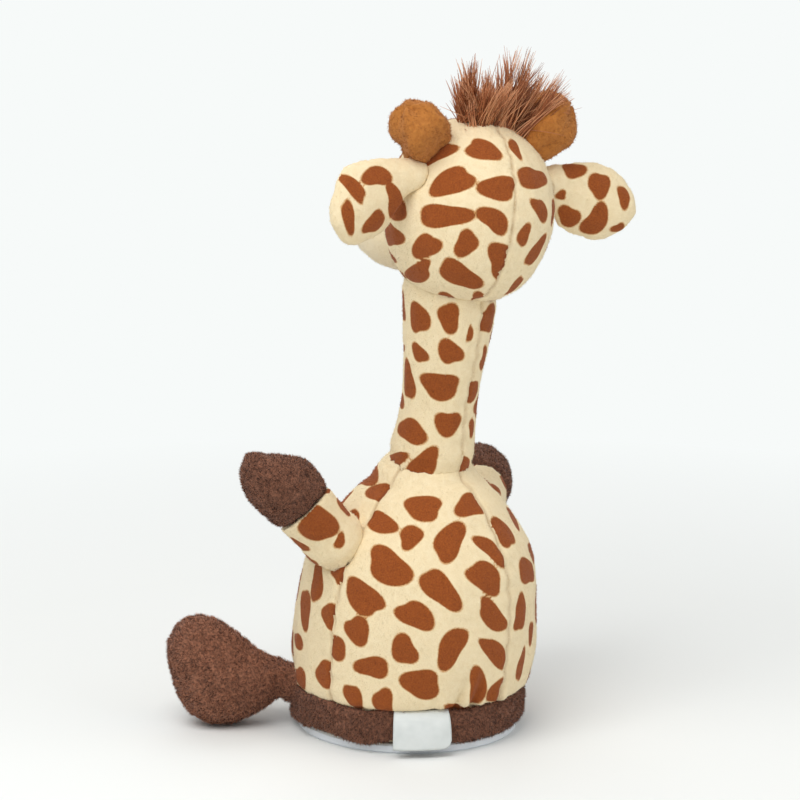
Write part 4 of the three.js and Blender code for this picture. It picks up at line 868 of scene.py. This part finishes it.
def label_point(u, v, out):
    """A point of the tape: u runs across it and v down it, both from 0 to 1, and out is through it"""
    from_corner = (1 - u) * label_width
    drop = 0
    if from_corner < label_corner:
        drop = label_corner - math.sqrt(label_corner ** 2 - (label_corner - from_corner) ** 2)
    down = v * (label_length - drop)
    turn = label_bearing + (u - 0.5) * label_width / label_radius
    bow = label_bow * math.sin(v * math.pi / 2) ** 2
    radius = label_radius + bow - label_tuck * (1 - v) ** label_tuck_bend + out
    return middle + Vector((radius * math.cos(turn), radius * math.sin(turn), label_top + label_rise - down))


label_points = [
    label_point(i / label_across, j / label_down, out)
    for out in (0, label_thick) for j in range(label_down + 1) for i in range(label_across + 1)
]
label_row = label_across + 1
label_layer = label_row * (label_down + 1)
label_faces = []
for j in range(label_down):
    for i in range(label_across):
        k = j * label_row + i
        quad = [k, k + 1, k + 1 + label_row, k + label_row]
        label_faces += [quad, [n + label_layer for n in reversed(quad)]]
label_rim = [
    *range(label_row),
    *[j * label_row + label_across for j in range(1, label_down + 1)],
    *[label_down * label_row + i for i in range(label_across - 1, -1, -1)],
    *[j * label_row for j in range(label_down - 1, 0, -1)],
]
for here, there in zip(label_rim, label_rim[1:] + label_rim[:1]):
    label_faces.append([there, here, here + label_layer, there + label_layer])


def piece_of(name, points, faces, look):
    """A smooth-shaded mesh piece"""
    mesh = bpy.data.meshes.new(name)
    mesh.from_pydata([tuple(point) for point in points], [], faces)
    mesh.shade_smooth()
    mesh.materials.append(look)
    return placed(name, mesh)


label = piece_of("label", label_points, label_faces, material("label_tape", tape))
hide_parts("care_label")
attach(label, "base")

# Neck cover: a tube of the printed plush with one seam up the back, stuffed over the neck tube.
# It is sewn to the body round its foot.
def of_joint(name, kind="pos_m"):
    """The place of a joint, or its axis"""
    return Vector(next(joint[kind] for joint in frame["joints"] if joint["name"] == name))


def filled_out(node):
    """The full form of a stuffed piece, without the sockets that its limbs sit in"""
    form = bmesh.new()
    form.from_mesh(frame["nodes"][node].data)
    faces = [part for part in bmesh.ops.convex_hull(form, input=form.verts)["geom"] if hasattr(part, "loops")]
    corners = [corner.co.copy() for face in faces for corner in face.verts]
    tree = BVHTree.FromPolygons(corners, [(i, i + 1, i + 2) for i in range(0, len(corners), 3)])
    form.free()
    return tree


pivot = of_joint("neck_rock")
neck_lean = math.tan(math.radians(8.9))
neck_seam = 90
neck_foot = (18.4 * mm, 23 * mm)
neck_edge = 3.5 * mm
head_full = filled_out("head_cover")
neck_spots = (
    (418, 318, 5.3, 2.8, 82), (449, 318, 4.4, 3.6, 75), (489, 319, 4.7, 2.5, -76), (470, 334, 2.8, 0.9, -75),
    (404, 348, 1.2, 0.6, 90), (419, 353, 3.4, 2.0, 65), (450, 352, 4.5, 3.3, 59), (484, 359, 3.7, 1.2, -86),
    (408, 380, 6.2, 1.6, 87), (440, 386, 6.5, 4.0, 2), (471, 391, 4.0, 2.5, -80), (410, 431, 4.5, 3.9, 48),
    (448, 424, 4.3, 3.8, -86), (472, 428, 3.0, 0.9, -83), (390, 462, 4.9, 2.3, -38),
    (423, 466, 6.5, 3.6, -42), (462, 465, 3.1, 2.5, 10),
)


def neck_seam_run(co):
    """Distance from the seam, and the bearing from it, which jumps by a turn where the cloth is sewn"""
    bearings, radii = around_axis(co - np.array(pivot), Vector(), neck_lean)
    return seam_gap(bearings, radii, neck_seam), (bearings - neck_seam) % full_turn


def neck_shape(co):
    """Folds and the seam, which fade out at the foot of the neck"""
    moves = creased(co, 7, 9) + sewn(neck_seam_run(co)[0], co[:, 2], 1)
    reach = np.linalg.norm(co - np.array(pivot), axis=1)
    foot = np.clip((neck_foot[1] - reach) / (neck_foot[1] - neck_foot[0]), 0, 1)
    return moves * (1 - foot)


def bend_neck(piece):
    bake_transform(piece)


spotted_cover(
    "neck_cloth", "neck_cover", body_net, body_rounding, shape=neck_shape, spots=neck_spots, comb=body_nap,
    hold=bend_neck, seed=41, seams=neck_seam_run,
    sewn_to=((tree_of(frame["nodes"]["body_cover"].data), neck_edge), (head_full, neck_edge)),
)

# Head: two side panels of printed plush with one seam over the top and down the back.
# It is stuffed round over the disc on the neck tube, and turned a little to the toy's right.
head_centre = Vector((-3, 16, 93)) * mm
head_turned, head_tipped = math.radians(-15), math.radians(-8)
head_place = (
    Matrix.Translation(pivot + head_centre)
    @ Matrix.Rotation(head_turned, 4, "Z") @ Matrix.Rotation(head_tipped, 4, "Y")
)
head_seam_front = -6 * mm
head_run = 0.45  # mm of seam to a degree
face_edge, face_steepness = 0.78, 8
head_spots = (
    (484, 150, 5.9, 3.1, 22), (515, 149, 3.6, 1.3, 57), (534, 178, 4.5, 3.6, 14), (451, 182, 7.7, 3.8, -26),
    (498, 188, 6.2, 3.7, 8), (541, 210, 4.3, 1.9, 67), (444, 216, 7.8, 3.9, 1), (494, 220, 5.1, 3.5, 37),
    (390, 235, 4.4, 3.1, 60), (524, 235, 3.4, 1.9, -67), (425, 247, 4.4, 3.7, -44), (466, 244, 4.0, 3.6, -48),
    (536, 251, 5.6, 1.5, -60), (388, 259, 2.6, 0.9, 48), (502, 261, 5.2, 4.4, 78), (416, 274, 4.5, 2.7, -12),
    (460, 276, 6.7, 3.6, 27), (399, 281, 2.0, 0.8, 64), (515, 286, 4.1, 1.1, -48), (449, 300, 4.4, 2.6, 20),
    (438, 153, 6.0, 2.4, -32), (397, 211, 3.2, 2.8, 60),
)


def in_head(co):
    """Points in the head's own frame: x to its left, y to its back, z up"""
    turn = np.array(head_place.inverted())
    return co @ turn[:3, :3].T + turn[:3, 3]


def head_seam_run(co):
    """Distance from the seam, which ends above the face, and the side that a point is on, a turn apart"""
    local = in_head(co)
    away = np.where(local[:, 1] > head_seam_front, np.abs(local[:, 0]), no_seam)
    return away, (local[:, 0] > 0) * full_turn


def head_shape(co):
    """Shallow folds and the seam"""
    local = in_head(co)
    run = np.degrees(np.arctan2(local[:, 2], local[:, 1])) * head_run * mm
    return creased(co, 3, 4, folds=0.6) + sewn(head_seam_run(co)[0], run, 2)


def on_neck(piece):
    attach(piece, "neck")


def head_room(normals):
    """The print stops short of the face"""
    return (-face_edge - normals @ np.array(head_place.to_3x3().col[1])) * face_steepness


spotted_cover(
    "head", "head_cover", body_net, body_rounding, shape=head_shape, spots=head_spots, comb=body_nap,
    hold=on_neck, seed=51, where=head_room, seams=head_seam_run,
)

# Muzzle: a plain cream plush snout, stuffed and sewn to the face, with stitched nostrils and a smile.
# The stitches are flat satin thread laid close on the pile.
# The darker cream below is painted shade for the hollows of the nap
plain_nap_shadow = colour(226, 208, 172)
plain_sheen, plain_depth = 0.25, 0.22 * mm
snout_nap = (0, 0.6, -0.4)


def plain_plush(shade):
    """Cream pile without a print, with more of a sheen, and painted shade in the hollows of its nap"""
    nap = grain_of(shade, nap_size, 3)
    return {
        "Base Color": blend_of(nap, plain_nap_shadow, cream),
        **plush_finish,
        "Sheen Weight": plain_sheen,
        "Normal": bump_of(nap, plain_depth),
    }


muzzle = stuffed("snout", "muzzle", body_net, body_rounding, sewn_to=((head_full, neck_edge),))
muzzle_outside = outside_of(muzzle.data)
puff(muzzle.data, ripple(points_of(muzzle.data), dimple_size, 8) * dimple_depth)
muzzle.data.materials.append(material("cream_plush", plain_plush))
muzzle_pile = pile(
    "snout_pile", muzzle.data, muzzle_outside, pile_height, pile_width, pile_per_area, snout_nap,
    cream_fibre, seed=61, flare=pile_flare,
)
for piece in (muzzle, muzzle_pile):
    on_neck(piece)


def tube_faces(rings, sides, first):
    """The sides and two closed ends of a tube of rings"""
    faces = []
    for ring in range(rings - 1):
        for k in range(sides):
            a, b = first + ring * sides + k, first + ring * sides + (k + 1) % sides
            faces.append([a, b, b + sides, a + sides])
    last = first + (rings - 1) * sides
    return [*faces, list(range(first + sides - 1, first - 1, -1)), list(range(last, last + sides))]


tube_side = Vector((0.31, 0.17, 0.94))  # any way that no path runs along


def tubes(name, paths, radii, sides, look):
    """Round tubes along paths, one after another in one piece, each path with its own radii"""
    points, faces = [], []
    for path, sizes in zip(paths, radii):
        faces += tube_faces(len(path), sides, len(points))
        for i, (point, size) in enumerate(zip(path, sizes)):
            way = (path[min(i + 1, len(path) - 1)] - path[max(i - 1, 0)]).normalized()
            side = way.cross(tube_side).normalized()
            other = way.cross(side)
            for k in range(sides):
                turn = 2 * math.pi * k / sides
                points.append(point + size * (math.cos(turn) * side + math.sin(turn) * other))
    return piece_of(name, points, faces, look)


thread_tint = colour(74, 46, 36)
thread_dark = 0.7
thread_size = 0.42 * mm
thread_grain, thread_depth = 0.3 * mm, 0.06 * mm
thread_sides = 6
stitch_lift = pile_height * 0.7
stitch_end = thread_size * 0.6
snout_tree = tree_of(muzzle.data)
before_snout = -90 * mm
smile_half, smile_low, smile_rise = 8.5, -16.5, 3.2
smile_points = 25
nostril_out, nostril_high, nostril_size = 4.6, -5.5, (1.1, 1.7)
nostril_rows, nostril_points, nostril_cut = 9, 5, 0.95


def satin(shade):
    """Twisted embroidery thread with a silk gloss"""
    strand = grain_of(shade, thread_grain)
    return {
        "Base Color": blend_of(strand, dimmed(thread_tint, thread_dark), thread_tint),
        "Roughness": strand * 0.2 + 0.35,
        "Normal": bump_of(strand, thread_depth),
    }


def on_snout(x, z):
    """A point of a stitch on the front of the snout, at head-frame x and z in mm"""
    start = head_place @ Vector((x * mm, before_snout, z * mm))
    hit, normal, _, _ = snout_tree.ray_cast(start, head_place.to_3x3() @ Vector((0, 1, 0)))
    return hit + normal * stitch_lift


smile = [
    on_snout(x, smile_low + smile_rise * (x / smile_half) ** 2)
    for x in np.linspace(-smile_half, smile_half, smile_points)
]
stitches, stitch_radii = [smile], [[thread_size] * smile_points]
for side in (-1, 1):
    for row in np.linspace(-1, 1, nostril_rows):
        half = nostril_size[0] * math.sqrt(1 - (row * nostril_cut) ** 2)
        stitches.append([
            on_snout(side * nostril_out + x * half, nostril_high + row * nostril_size[1])
            for x in np.linspace(-1, 1, nostril_points)
        ])
        stitch_radii.append([stitch_end, *[thread_size] * (nostril_points - 2), stitch_end])
mouth = tubes("snout_stitches", stitches, stitch_radii, thread_sides, material("brown_thread", satin))
on_neck(mouth)

# Eyes: two glossy black moulded beads on shanks, each pulled into the cloth by its washer.
# A bead is a flattened dome with a turned rim.
bead_profile = (
    (0, 3.2), (0.9, 3.12), (1.8, 2.8), (2.6, 2.25), (3.2, 1.5), (3.5, 0.7), (3.6, 0), (3.75, -0.2),
    (3.75, -0.7), (3.3, -1.1),
)
bead_sides = 40


def middle_of(node):
    """The middle of a CAD node's box"""
    low, high = (Vector(corner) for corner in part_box(node))
    return (low + high) / 2


def bead(shade):
    """Polished acrylic, black with a deep brown cast"""
    dust = grain_of(shade, 0.8 * mm)
    return {
        "Base Color": blend_of(dust, colour(14, 10, 9), colour(30, 20, 16)),
        "Roughness": dust * 0.04 + 0.04,
        "Coat Weight": 0.1,
        "Coat Roughness": 0.03,
    }


bead_look = material("bead_plastic", bead)
for which in ("left", "right"):
    seat = middle_of(f"eye_{which}")
    out = (seat - head_place.translation).normalized()
    flat = out.orthogonal().normalized()
    cross = out.cross(flat)
    points = [seat + out * bead_profile[0][1] * mm]
    faces = []
    for ring, (radius, height) in enumerate(bead_profile[1:]):
        for k in range(bead_sides):
            turn = 2 * math.pi * k / bead_sides
            around = math.cos(turn) * flat + math.sin(turn) * cross
            points.append(seat + out * height * mm + around * radius * mm)
            a, b = 1 + ring * bead_sides + k, 1 + ring * bead_sides + (k + 1) % bead_sides
            faces.append([0, a, b] if ring == 0 else [a - bead_sides, a, b, b - bead_sides])
    faces.append(list(range(len(points) - 1, len(points) - 1 - bead_sides, -1)))
    eye = piece_of(f"bead_{which}", points, faces, bead_look)
    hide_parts(f"eye_{which}")
    on_neck(eye)

# Ears: a printed back and a plain cream front, sewn edge to edge, lightly filled and set in the head seam.
# Each droops from its root.
def shaped(cloth, outline):
    """Fits a pad's outline as the photograph shows it: bearings in degrees, and how far out in mm"""
    co = points_of(cloth)
    ways = np.array([photo_right, photo_up])
    flat = (co - co.mean(axis=0)) @ ways.T
    reach = np.hypot(*flat.T)[:, None]
    turns = np.degrees(np.arctan2(flat[:, 1], flat[:, 0]))
    push = np.interp(turns, *zip(*outline), period=full_turn)[:, None] * mm * (reach / reach.max()) ** 2
    set_points(cloth, co + push * flat / np.maximum(reach, mm) @ ways)


ear_spots = {
    "left": (
        (377, 176, 4.2, 3.3, -3), (353, 187, 6.1, 2.0, 47), (396, 203, 4.5, 2.0, -80),
        (349, 218, 5.3, 1.9, 77), (375, 223, 4.4, 2.2, -55),
    ),
    "right": (
        (574, 170, 3.7, 2.5, -6), (600, 185, 4.3, 3.4, -73), (624, 197, 3.6, 1.9, 70),
        (569, 217, 3.6, 3.2, 10), (596, 221, 5.2, 3.7, -53), (561, 195, 1.8, 1.4, 0),
        (618, 228, 2.2, 1.0, -30),
    ),
}
ear_outlines = {
    "left": (
        (-145, 2.5), (-119, 3.4), (-100, 1), (-49, -2.2), (-4, -1.9), (41, 1.2), (63, 0), (105, -1.3),
        (142, 2.8), (176, 1.6),
    ),
    "right": ((-146, 1.9), (-98, 0), (-79, 1.9), (-47, 1), (-3, 0.6), (38, -0.6), (98, -1.3), (136, 1.9)),
}
ear_net = 0.75 * mm
ear_rounding = 4
ear_bend = (1 * mm, 9 * mm)
ear_edge = 3.5 * mm
ear_root, ear_root_fade, ear_swell = 5 * mm, 1.6, 1.2 * mm
front_edge, front_steepness = 0.1, 40
limb_comb = 0.8
for which, back_sign, seed in (("left", -1, 71), ("right", 1, 81)):
    root = of_joint(f"ear_{which}_flop")
    ear_back = np.array(of_joint(f"ear_{which}_flop", "axis") * back_sign)
    along = (middle_of(f"ear_{which}") - root).normalized()

    def ear_shape(co, root=root):
        near = np.clip(ear_root_fade - np.linalg.norm(co - np.array(root), axis=1) / ear_root, 0, 1)
        return ripple(co, dimple_size, 12) * dimple_depth * 2 + near * ear_swell

    def ear_room(normals, ear_back=ear_back):
        return (-front_edge - normals @ ear_back) * front_steepness

    def ear_form(cloth, which=which):
        shaped(cloth, ear_outlines[which])

    def ear_hold(piece, which=which, root=root, along=along):
        root + along * ear_bend[0]
        root + along * ear_bend[1]
        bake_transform(piece)

    spotted_cover(
        f"ear_{which}_cloth", f"ear_{which}", ear_net, ear_rounding, shape=ear_shape, spots=ear_spots[which],
        comb=tuple(along * limb_comb), hold=ear_hold, seed=seed, where=ear_room,
        sewn_to=((head_full, ear_edge),), form=ear_form, tries=0,
    )

# Horns: blunt golden-brown plush pads, four-panelled so that they fill out nearly square.
# They are stuffed hard and sewn to the crown on either side of the hair.
horn_net = 0.75 * mm
horn_panels, horn_square = 4, 0.7 * mm
horn_tint = colour(192, 124, 54)
# horn_deep is the colour of the painted shade in the creases of the curls; half the fibres are tinted with it
# too
horn_deep = colour(160, 96, 34)
horn_pile = 0.9 * mm
horn_per_area, horn_flare, horn_comb = 1.3, 0.7, 0.3
horn_clump = 1.6 * mm
curl_size, curl_depth = 1.4 * mm, 0.4 * mm
horn_edge = 3 * mm
horn_outlines = {
    "left": (
        (-161, -0.6), (-140, -1.6), (-117, 1.9), (-101, 2.8), (-68, -1.9), (-26, -1), (4, 0), (37, -2.2),
        (73, -1), (105, -1), (134, 0.6), (169, -0.3),
    ),
    "right": ((-94, 0), (-51, -1.2), (16, -0.3), (46, 1.9), (63, 2.5), (83, 2.5), (120, 0)),
}


def horn_plush(shade):
    """Golden pile in small curls, with painted shade in the creases"""
    curl = grain_of(shade, curl_size, 4)
    return {
        "Base Color": blend_of((curl * 1.5 - 0.3).share(), horn_deep, horn_tint),
        **plush_finish,
        "Normal": bump_of(curl, curl_depth),
    }


horn_cloth = material("horn_plush", horn_plush)
horn_fibres = {
    "gold": material("gold_fibre", fibre(horn_tint)), "deep": material("deep_gold_fibre", fibre(horn_deep)),
}
for which in ("left", "right"):
    horn = stuffed(f"horn_{which}_cloth", f"horn_{which}", horn_net, brown_rounding)
    co = points_of(horn.data)
    centre = Vector(co.mean(axis=0))
    axis = (centre - head_place.translation).normalized()
    flat = axis.orthogonal().normalized()
    around = co - np.array(centre)
    turns = np.arctan2(around @ np.array(axis.cross(flat)), around @ np.array(flat))
    squared = np.cos(horn_panels * turns) * horn_square
    puff(horn.data, squared + ripple(co, dimple_size, 15) * dimple_depth * 2)
    shaped(horn.data, horn_outlines[which])
    sewn_into(horn.data, head_full, horn_edge)
    horn.data.materials.append(horn_cloth)
    outside = outside_of(horn.data)
    pieces = [horn]
    for i, (tint, look) in enumerate(horn_fibres.items()):
        pieces.append(pile(
            f"horn_{which}_pile_{tint}", horn.data, outside, horn_pile, brown_width, horn_per_area,
            tuple(axis * horn_comb), look, seed=91 + i, flare=horn_flare, clump=horn_clump,
        ))
    for piece in pieces:
        on_neck(piece)

# Hair: a fan of long straight synthetic fibre, folded into the crown seam in locks.
# The locks spread to both sides and backwards, with a few stray strands.
# The light tint is painted highlight, given to whole locks and to single strands at random among the mid and
# dark ones
hair_tints = {"mid": colour(186, 114, 70), "dark": colour(148, 84, 46), "light": colour(222, 158, 112)}
hair_root = Vector((-4, 4, 26.3)) * mm
hair_half = (10.5 * mm, 4.5 * mm)
hair_fan, hair_turn, hair_scatter = 34, 5, 8  # degrees
hair_back = (10, 13)  # degrees, and their spread
hair_lengths = (
    (-1, 16), (-0.75, 18.5), (-0.45, 17), (-0.25, 14), (-0.12, 20), (0, 19), (0.1, 12), (0.26, 13),
    (0.5, 17.5), (0.8, 17), (1, 15),
)
hair_uneven = (0.8, 1.05)
hair_sunk = 2 * mm
hair_fold = 3.5  # mm
hair_locks = 84
hair_lock = 24
hair_neat, hair_loose, hair_stray = 0.03, 0.28, 0.08
lock_bend, strand_bend = 0.16, 0.04
hair_steps, hair_sides = 7, 4
hair_size = 0.18 * mm
hair_lock_width = 0.8 * mm
hair_gather = 0.7
hair_mixed = 0.35
hair_streak, hair_dark = 2 * mm, 0.75
rng = np.random.default_rng(101)
hair_paths = {tint: [] for tint in hair_tints}
for lock in range(hair_locks):
    place = -1 + 2 * (lock + rng.uniform(0, 1)) / hair_locks
    side = math.radians(hair_turn - hair_fan * place + rng.normal(0, hair_scatter))
    back = math.radians(rng.normal(*hair_back))
    lock_way = Vector((-math.sin(side) * math.cos(back), math.sin(back), math.cos(side) * math.cos(back)))
    aside = Vector((place * hair_half[0], rng.uniform(-1, 1) * hair_half[1], -hair_sunk * place ** 2))
    lock_root = hair_root + aside
    lock_length = np.interp(place, *zip(*hair_lengths)) * mm * rng.uniform(*hair_uneven)
    lock_bow = Vector(rng.normal(0, lock_bend, 3))
    lock_tint = ("mid", "mid", "dark", "light")[int(rng.integers(4))]
    for strand in range(hair_lock):
        spread = hair_neat if rng.random() > hair_stray else hair_loose
        way = (lock_way + Vector(rng.normal(0, spread, 3))).normalized()
        offset = Vector(rng.normal(0, hair_lock_width, 3))
        root = lock_root - way * hair_fold * mm
        reach = lock_length * rng.uniform(*hair_uneven) + hair_fold * mm
        bow = lock_bow + Vector(rng.normal(0, strand_bend, 3))
        path = [
            head_place @ (root + offset * (1 - hair_gather * t) + way * reach * t + bow * reach * t * t)
            for t in np.linspace(0, 1, hair_steps)
        ]
        other_tint = ("mid", "dark", "light")[int(rng.integers(3))]
        hair_paths[other_tint if rng.random() < hair_mixed else lock_tint].append(path)


def hair_fibre(tint):
    """Synthetic hair with a soft lengthwise gloss"""
    def look(shade):
        streak = grain_of(shade, hair_streak)
        return {"Base Color": blend_of(streak, dimmed(tint, hair_dark), tint), "Roughness": 0.5}
    return look


hair_taper = [1, 1, 0.95, 0.85, 0.7, 0.5, 0.2]
for i, (tint, paths) in enumerate(hair_paths.items()):
    strands = tubes(
        f"hair_{tint}", paths, [[hair_size * share for share in hair_taper]] * len(paths), hair_sides,
        material(f"hair_fibre_{tint}", hair_fibre(hair_tints[tint])),
    )
    on_neck(strands)
    if i == 0:
        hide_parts("hair_tuft")

# Arms: sleeves of printed plush sewn into the body, each closed by a stuffed brown hoof.
# The hoof moves with the arm.
sleeve_spots = {
    "left": (
        (319, 525, 6.6, 5.1, 38), (299, 545, 3.4, 1.3, 43), (320, 488, 2.2, 1.8, 0),
        (340, 541, 2.5, 1.5, -60),
    ),
    "right": ((495, 489, 3.0, 1.4, 35), (509, 485, 4.2, 1.3, 53)),
}
sleeve_bend = (2 * mm, 12 * mm)
sleeve_edge = 5 * mm
sleeve_root, sleeve_swell = (4 * mm, 12.5 * mm), 1.9 * mm
body_full = filled_out("body_cover")
hoof_pile = 1.1 * mm
hoof_outline = (
    (-142, -0.6), (-97, -0.6), (5, -0.3), (50, -0.7), (70, -3.2), (90, -3.8), (117, -3.1), (138, 1),
    (170, 0.6),
)
brown_comb = 0.7
cuff_run = (5 * mm, 18.5 * mm, 34 * mm)
cuff_slant = 0.42


def slant_cuff(cloth, root, way):
    """Slants the seam between sleeve and hoof, which is sewn higher on the side that the photograph shows"""
    co = points_of(cloth)
    rise = co - np.array(root)
    seen_way = to_photo - way * to_photo.dot(way)
    share = np.interp(rise @ np.array(way), cuff_run, (0, 1, 0))
    co += np.outer(share * cuff_slant * (rise @ np.array(seen_way.normalized())), way)
    set_points(cloth, co)


for which, sleeve_seed, hoof_seed in (("left", 111, 131), ("right", 121, 141)):
    root = of_joint(f"arm_{which}_swing")
    along = (middle_of(f"hoof_{which}") - root).normalized()

    def cuffed(cloth, which=which, root=root, along=along):
        if which == "left":
            slant_cuff(cloth, root, along)

    def hoofed(cloth, which=which, cuffed=cuffed):
        if which == "left":
            shaped(cloth, hoof_outline)
        cuffed(cloth)

    def sleeve_shape(co, root=root):
        near = np.clip((sleeve_root[1] - np.linalg.norm(co - np.array(root), axis=1)) / sleeve_root[0], 0, 1)
        return creased(co, 6, 21, folds=0.5, dimples=2) + near * sleeve_swell

    def sleeve_hold(piece, which=which, root=root, along=along):
        root + along * sleeve_bend[0]
        root + along * sleeve_bend[1]
        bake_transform(piece)

    spotted_cover(
        f"sleeve_{which}_cloth", f"sleeve_{which}", ear_net, ear_rounding, shape=sleeve_shape,
        spots=sleeve_spots[which], comb=tuple(along * limb_comb), hold=sleeve_hold, seed=sleeve_seed,
        sewn_to=((body_full, sleeve_edge),), form=cuffed,
    )
    brown_cover(
        f"hoof_{which}_cloth", f"hoof_{which}", hoof_pile, comb=tuple(along * brown_comb),
        hold=lambda piece, which=which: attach(piece, f"arm_{which}"), seed=hoof_seed, form=hoofed,
    )

# Feet: two big soft brown plush feet on narrow ankles, sewn to the body just above the hem.
# Each lies on its heel with the toe up.
foot_pile = 1.2 * mm
foot_edge = 3 * mm
# The feet get a lighter copy of the brown plush of the hooves and hem: painted light, for the brighter light
# that falls on them
lit_foot_root = colour(74, 43, 30)
lit_foot_tints = {"dark": colour(86, 50, 34), "light": colour(182, 122, 92)}
lit_foot_cloth = material("lit_foot_plush", brown_plush(lit_foot_root, lit_foot_tints["light"]))
lit_foot_looks = {tint: material(f"{tint}_lit_foot_fibre", fibre(shown)) for tint, shown in lit_foot_tints.items()}
ankle_bend = (2 * mm, 13 * mm)
for which, seed in (("left", 151), ("right", 161)):
    root = of_joint(f"foot_{which}_lift")
    along = (middle_of(f"foot_{which}") - root).normalized()
    along.z = 0

    def foot_hold(piece, which=which, root=root, along=along):
        root + along * ankle_bend[0]
        root + along * ankle_bend[1]
        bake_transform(piece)

    brown_cover(
        f"foot_{which}_cloth", f"foot_{which}", foot_pile, comb=tuple(along * brown_comb), hold=foot_hold,
        seed=seed, sewn_to=((body_full, foot_edge),), root=lit_foot_cloth, looks=lit_foot_looks,
    )
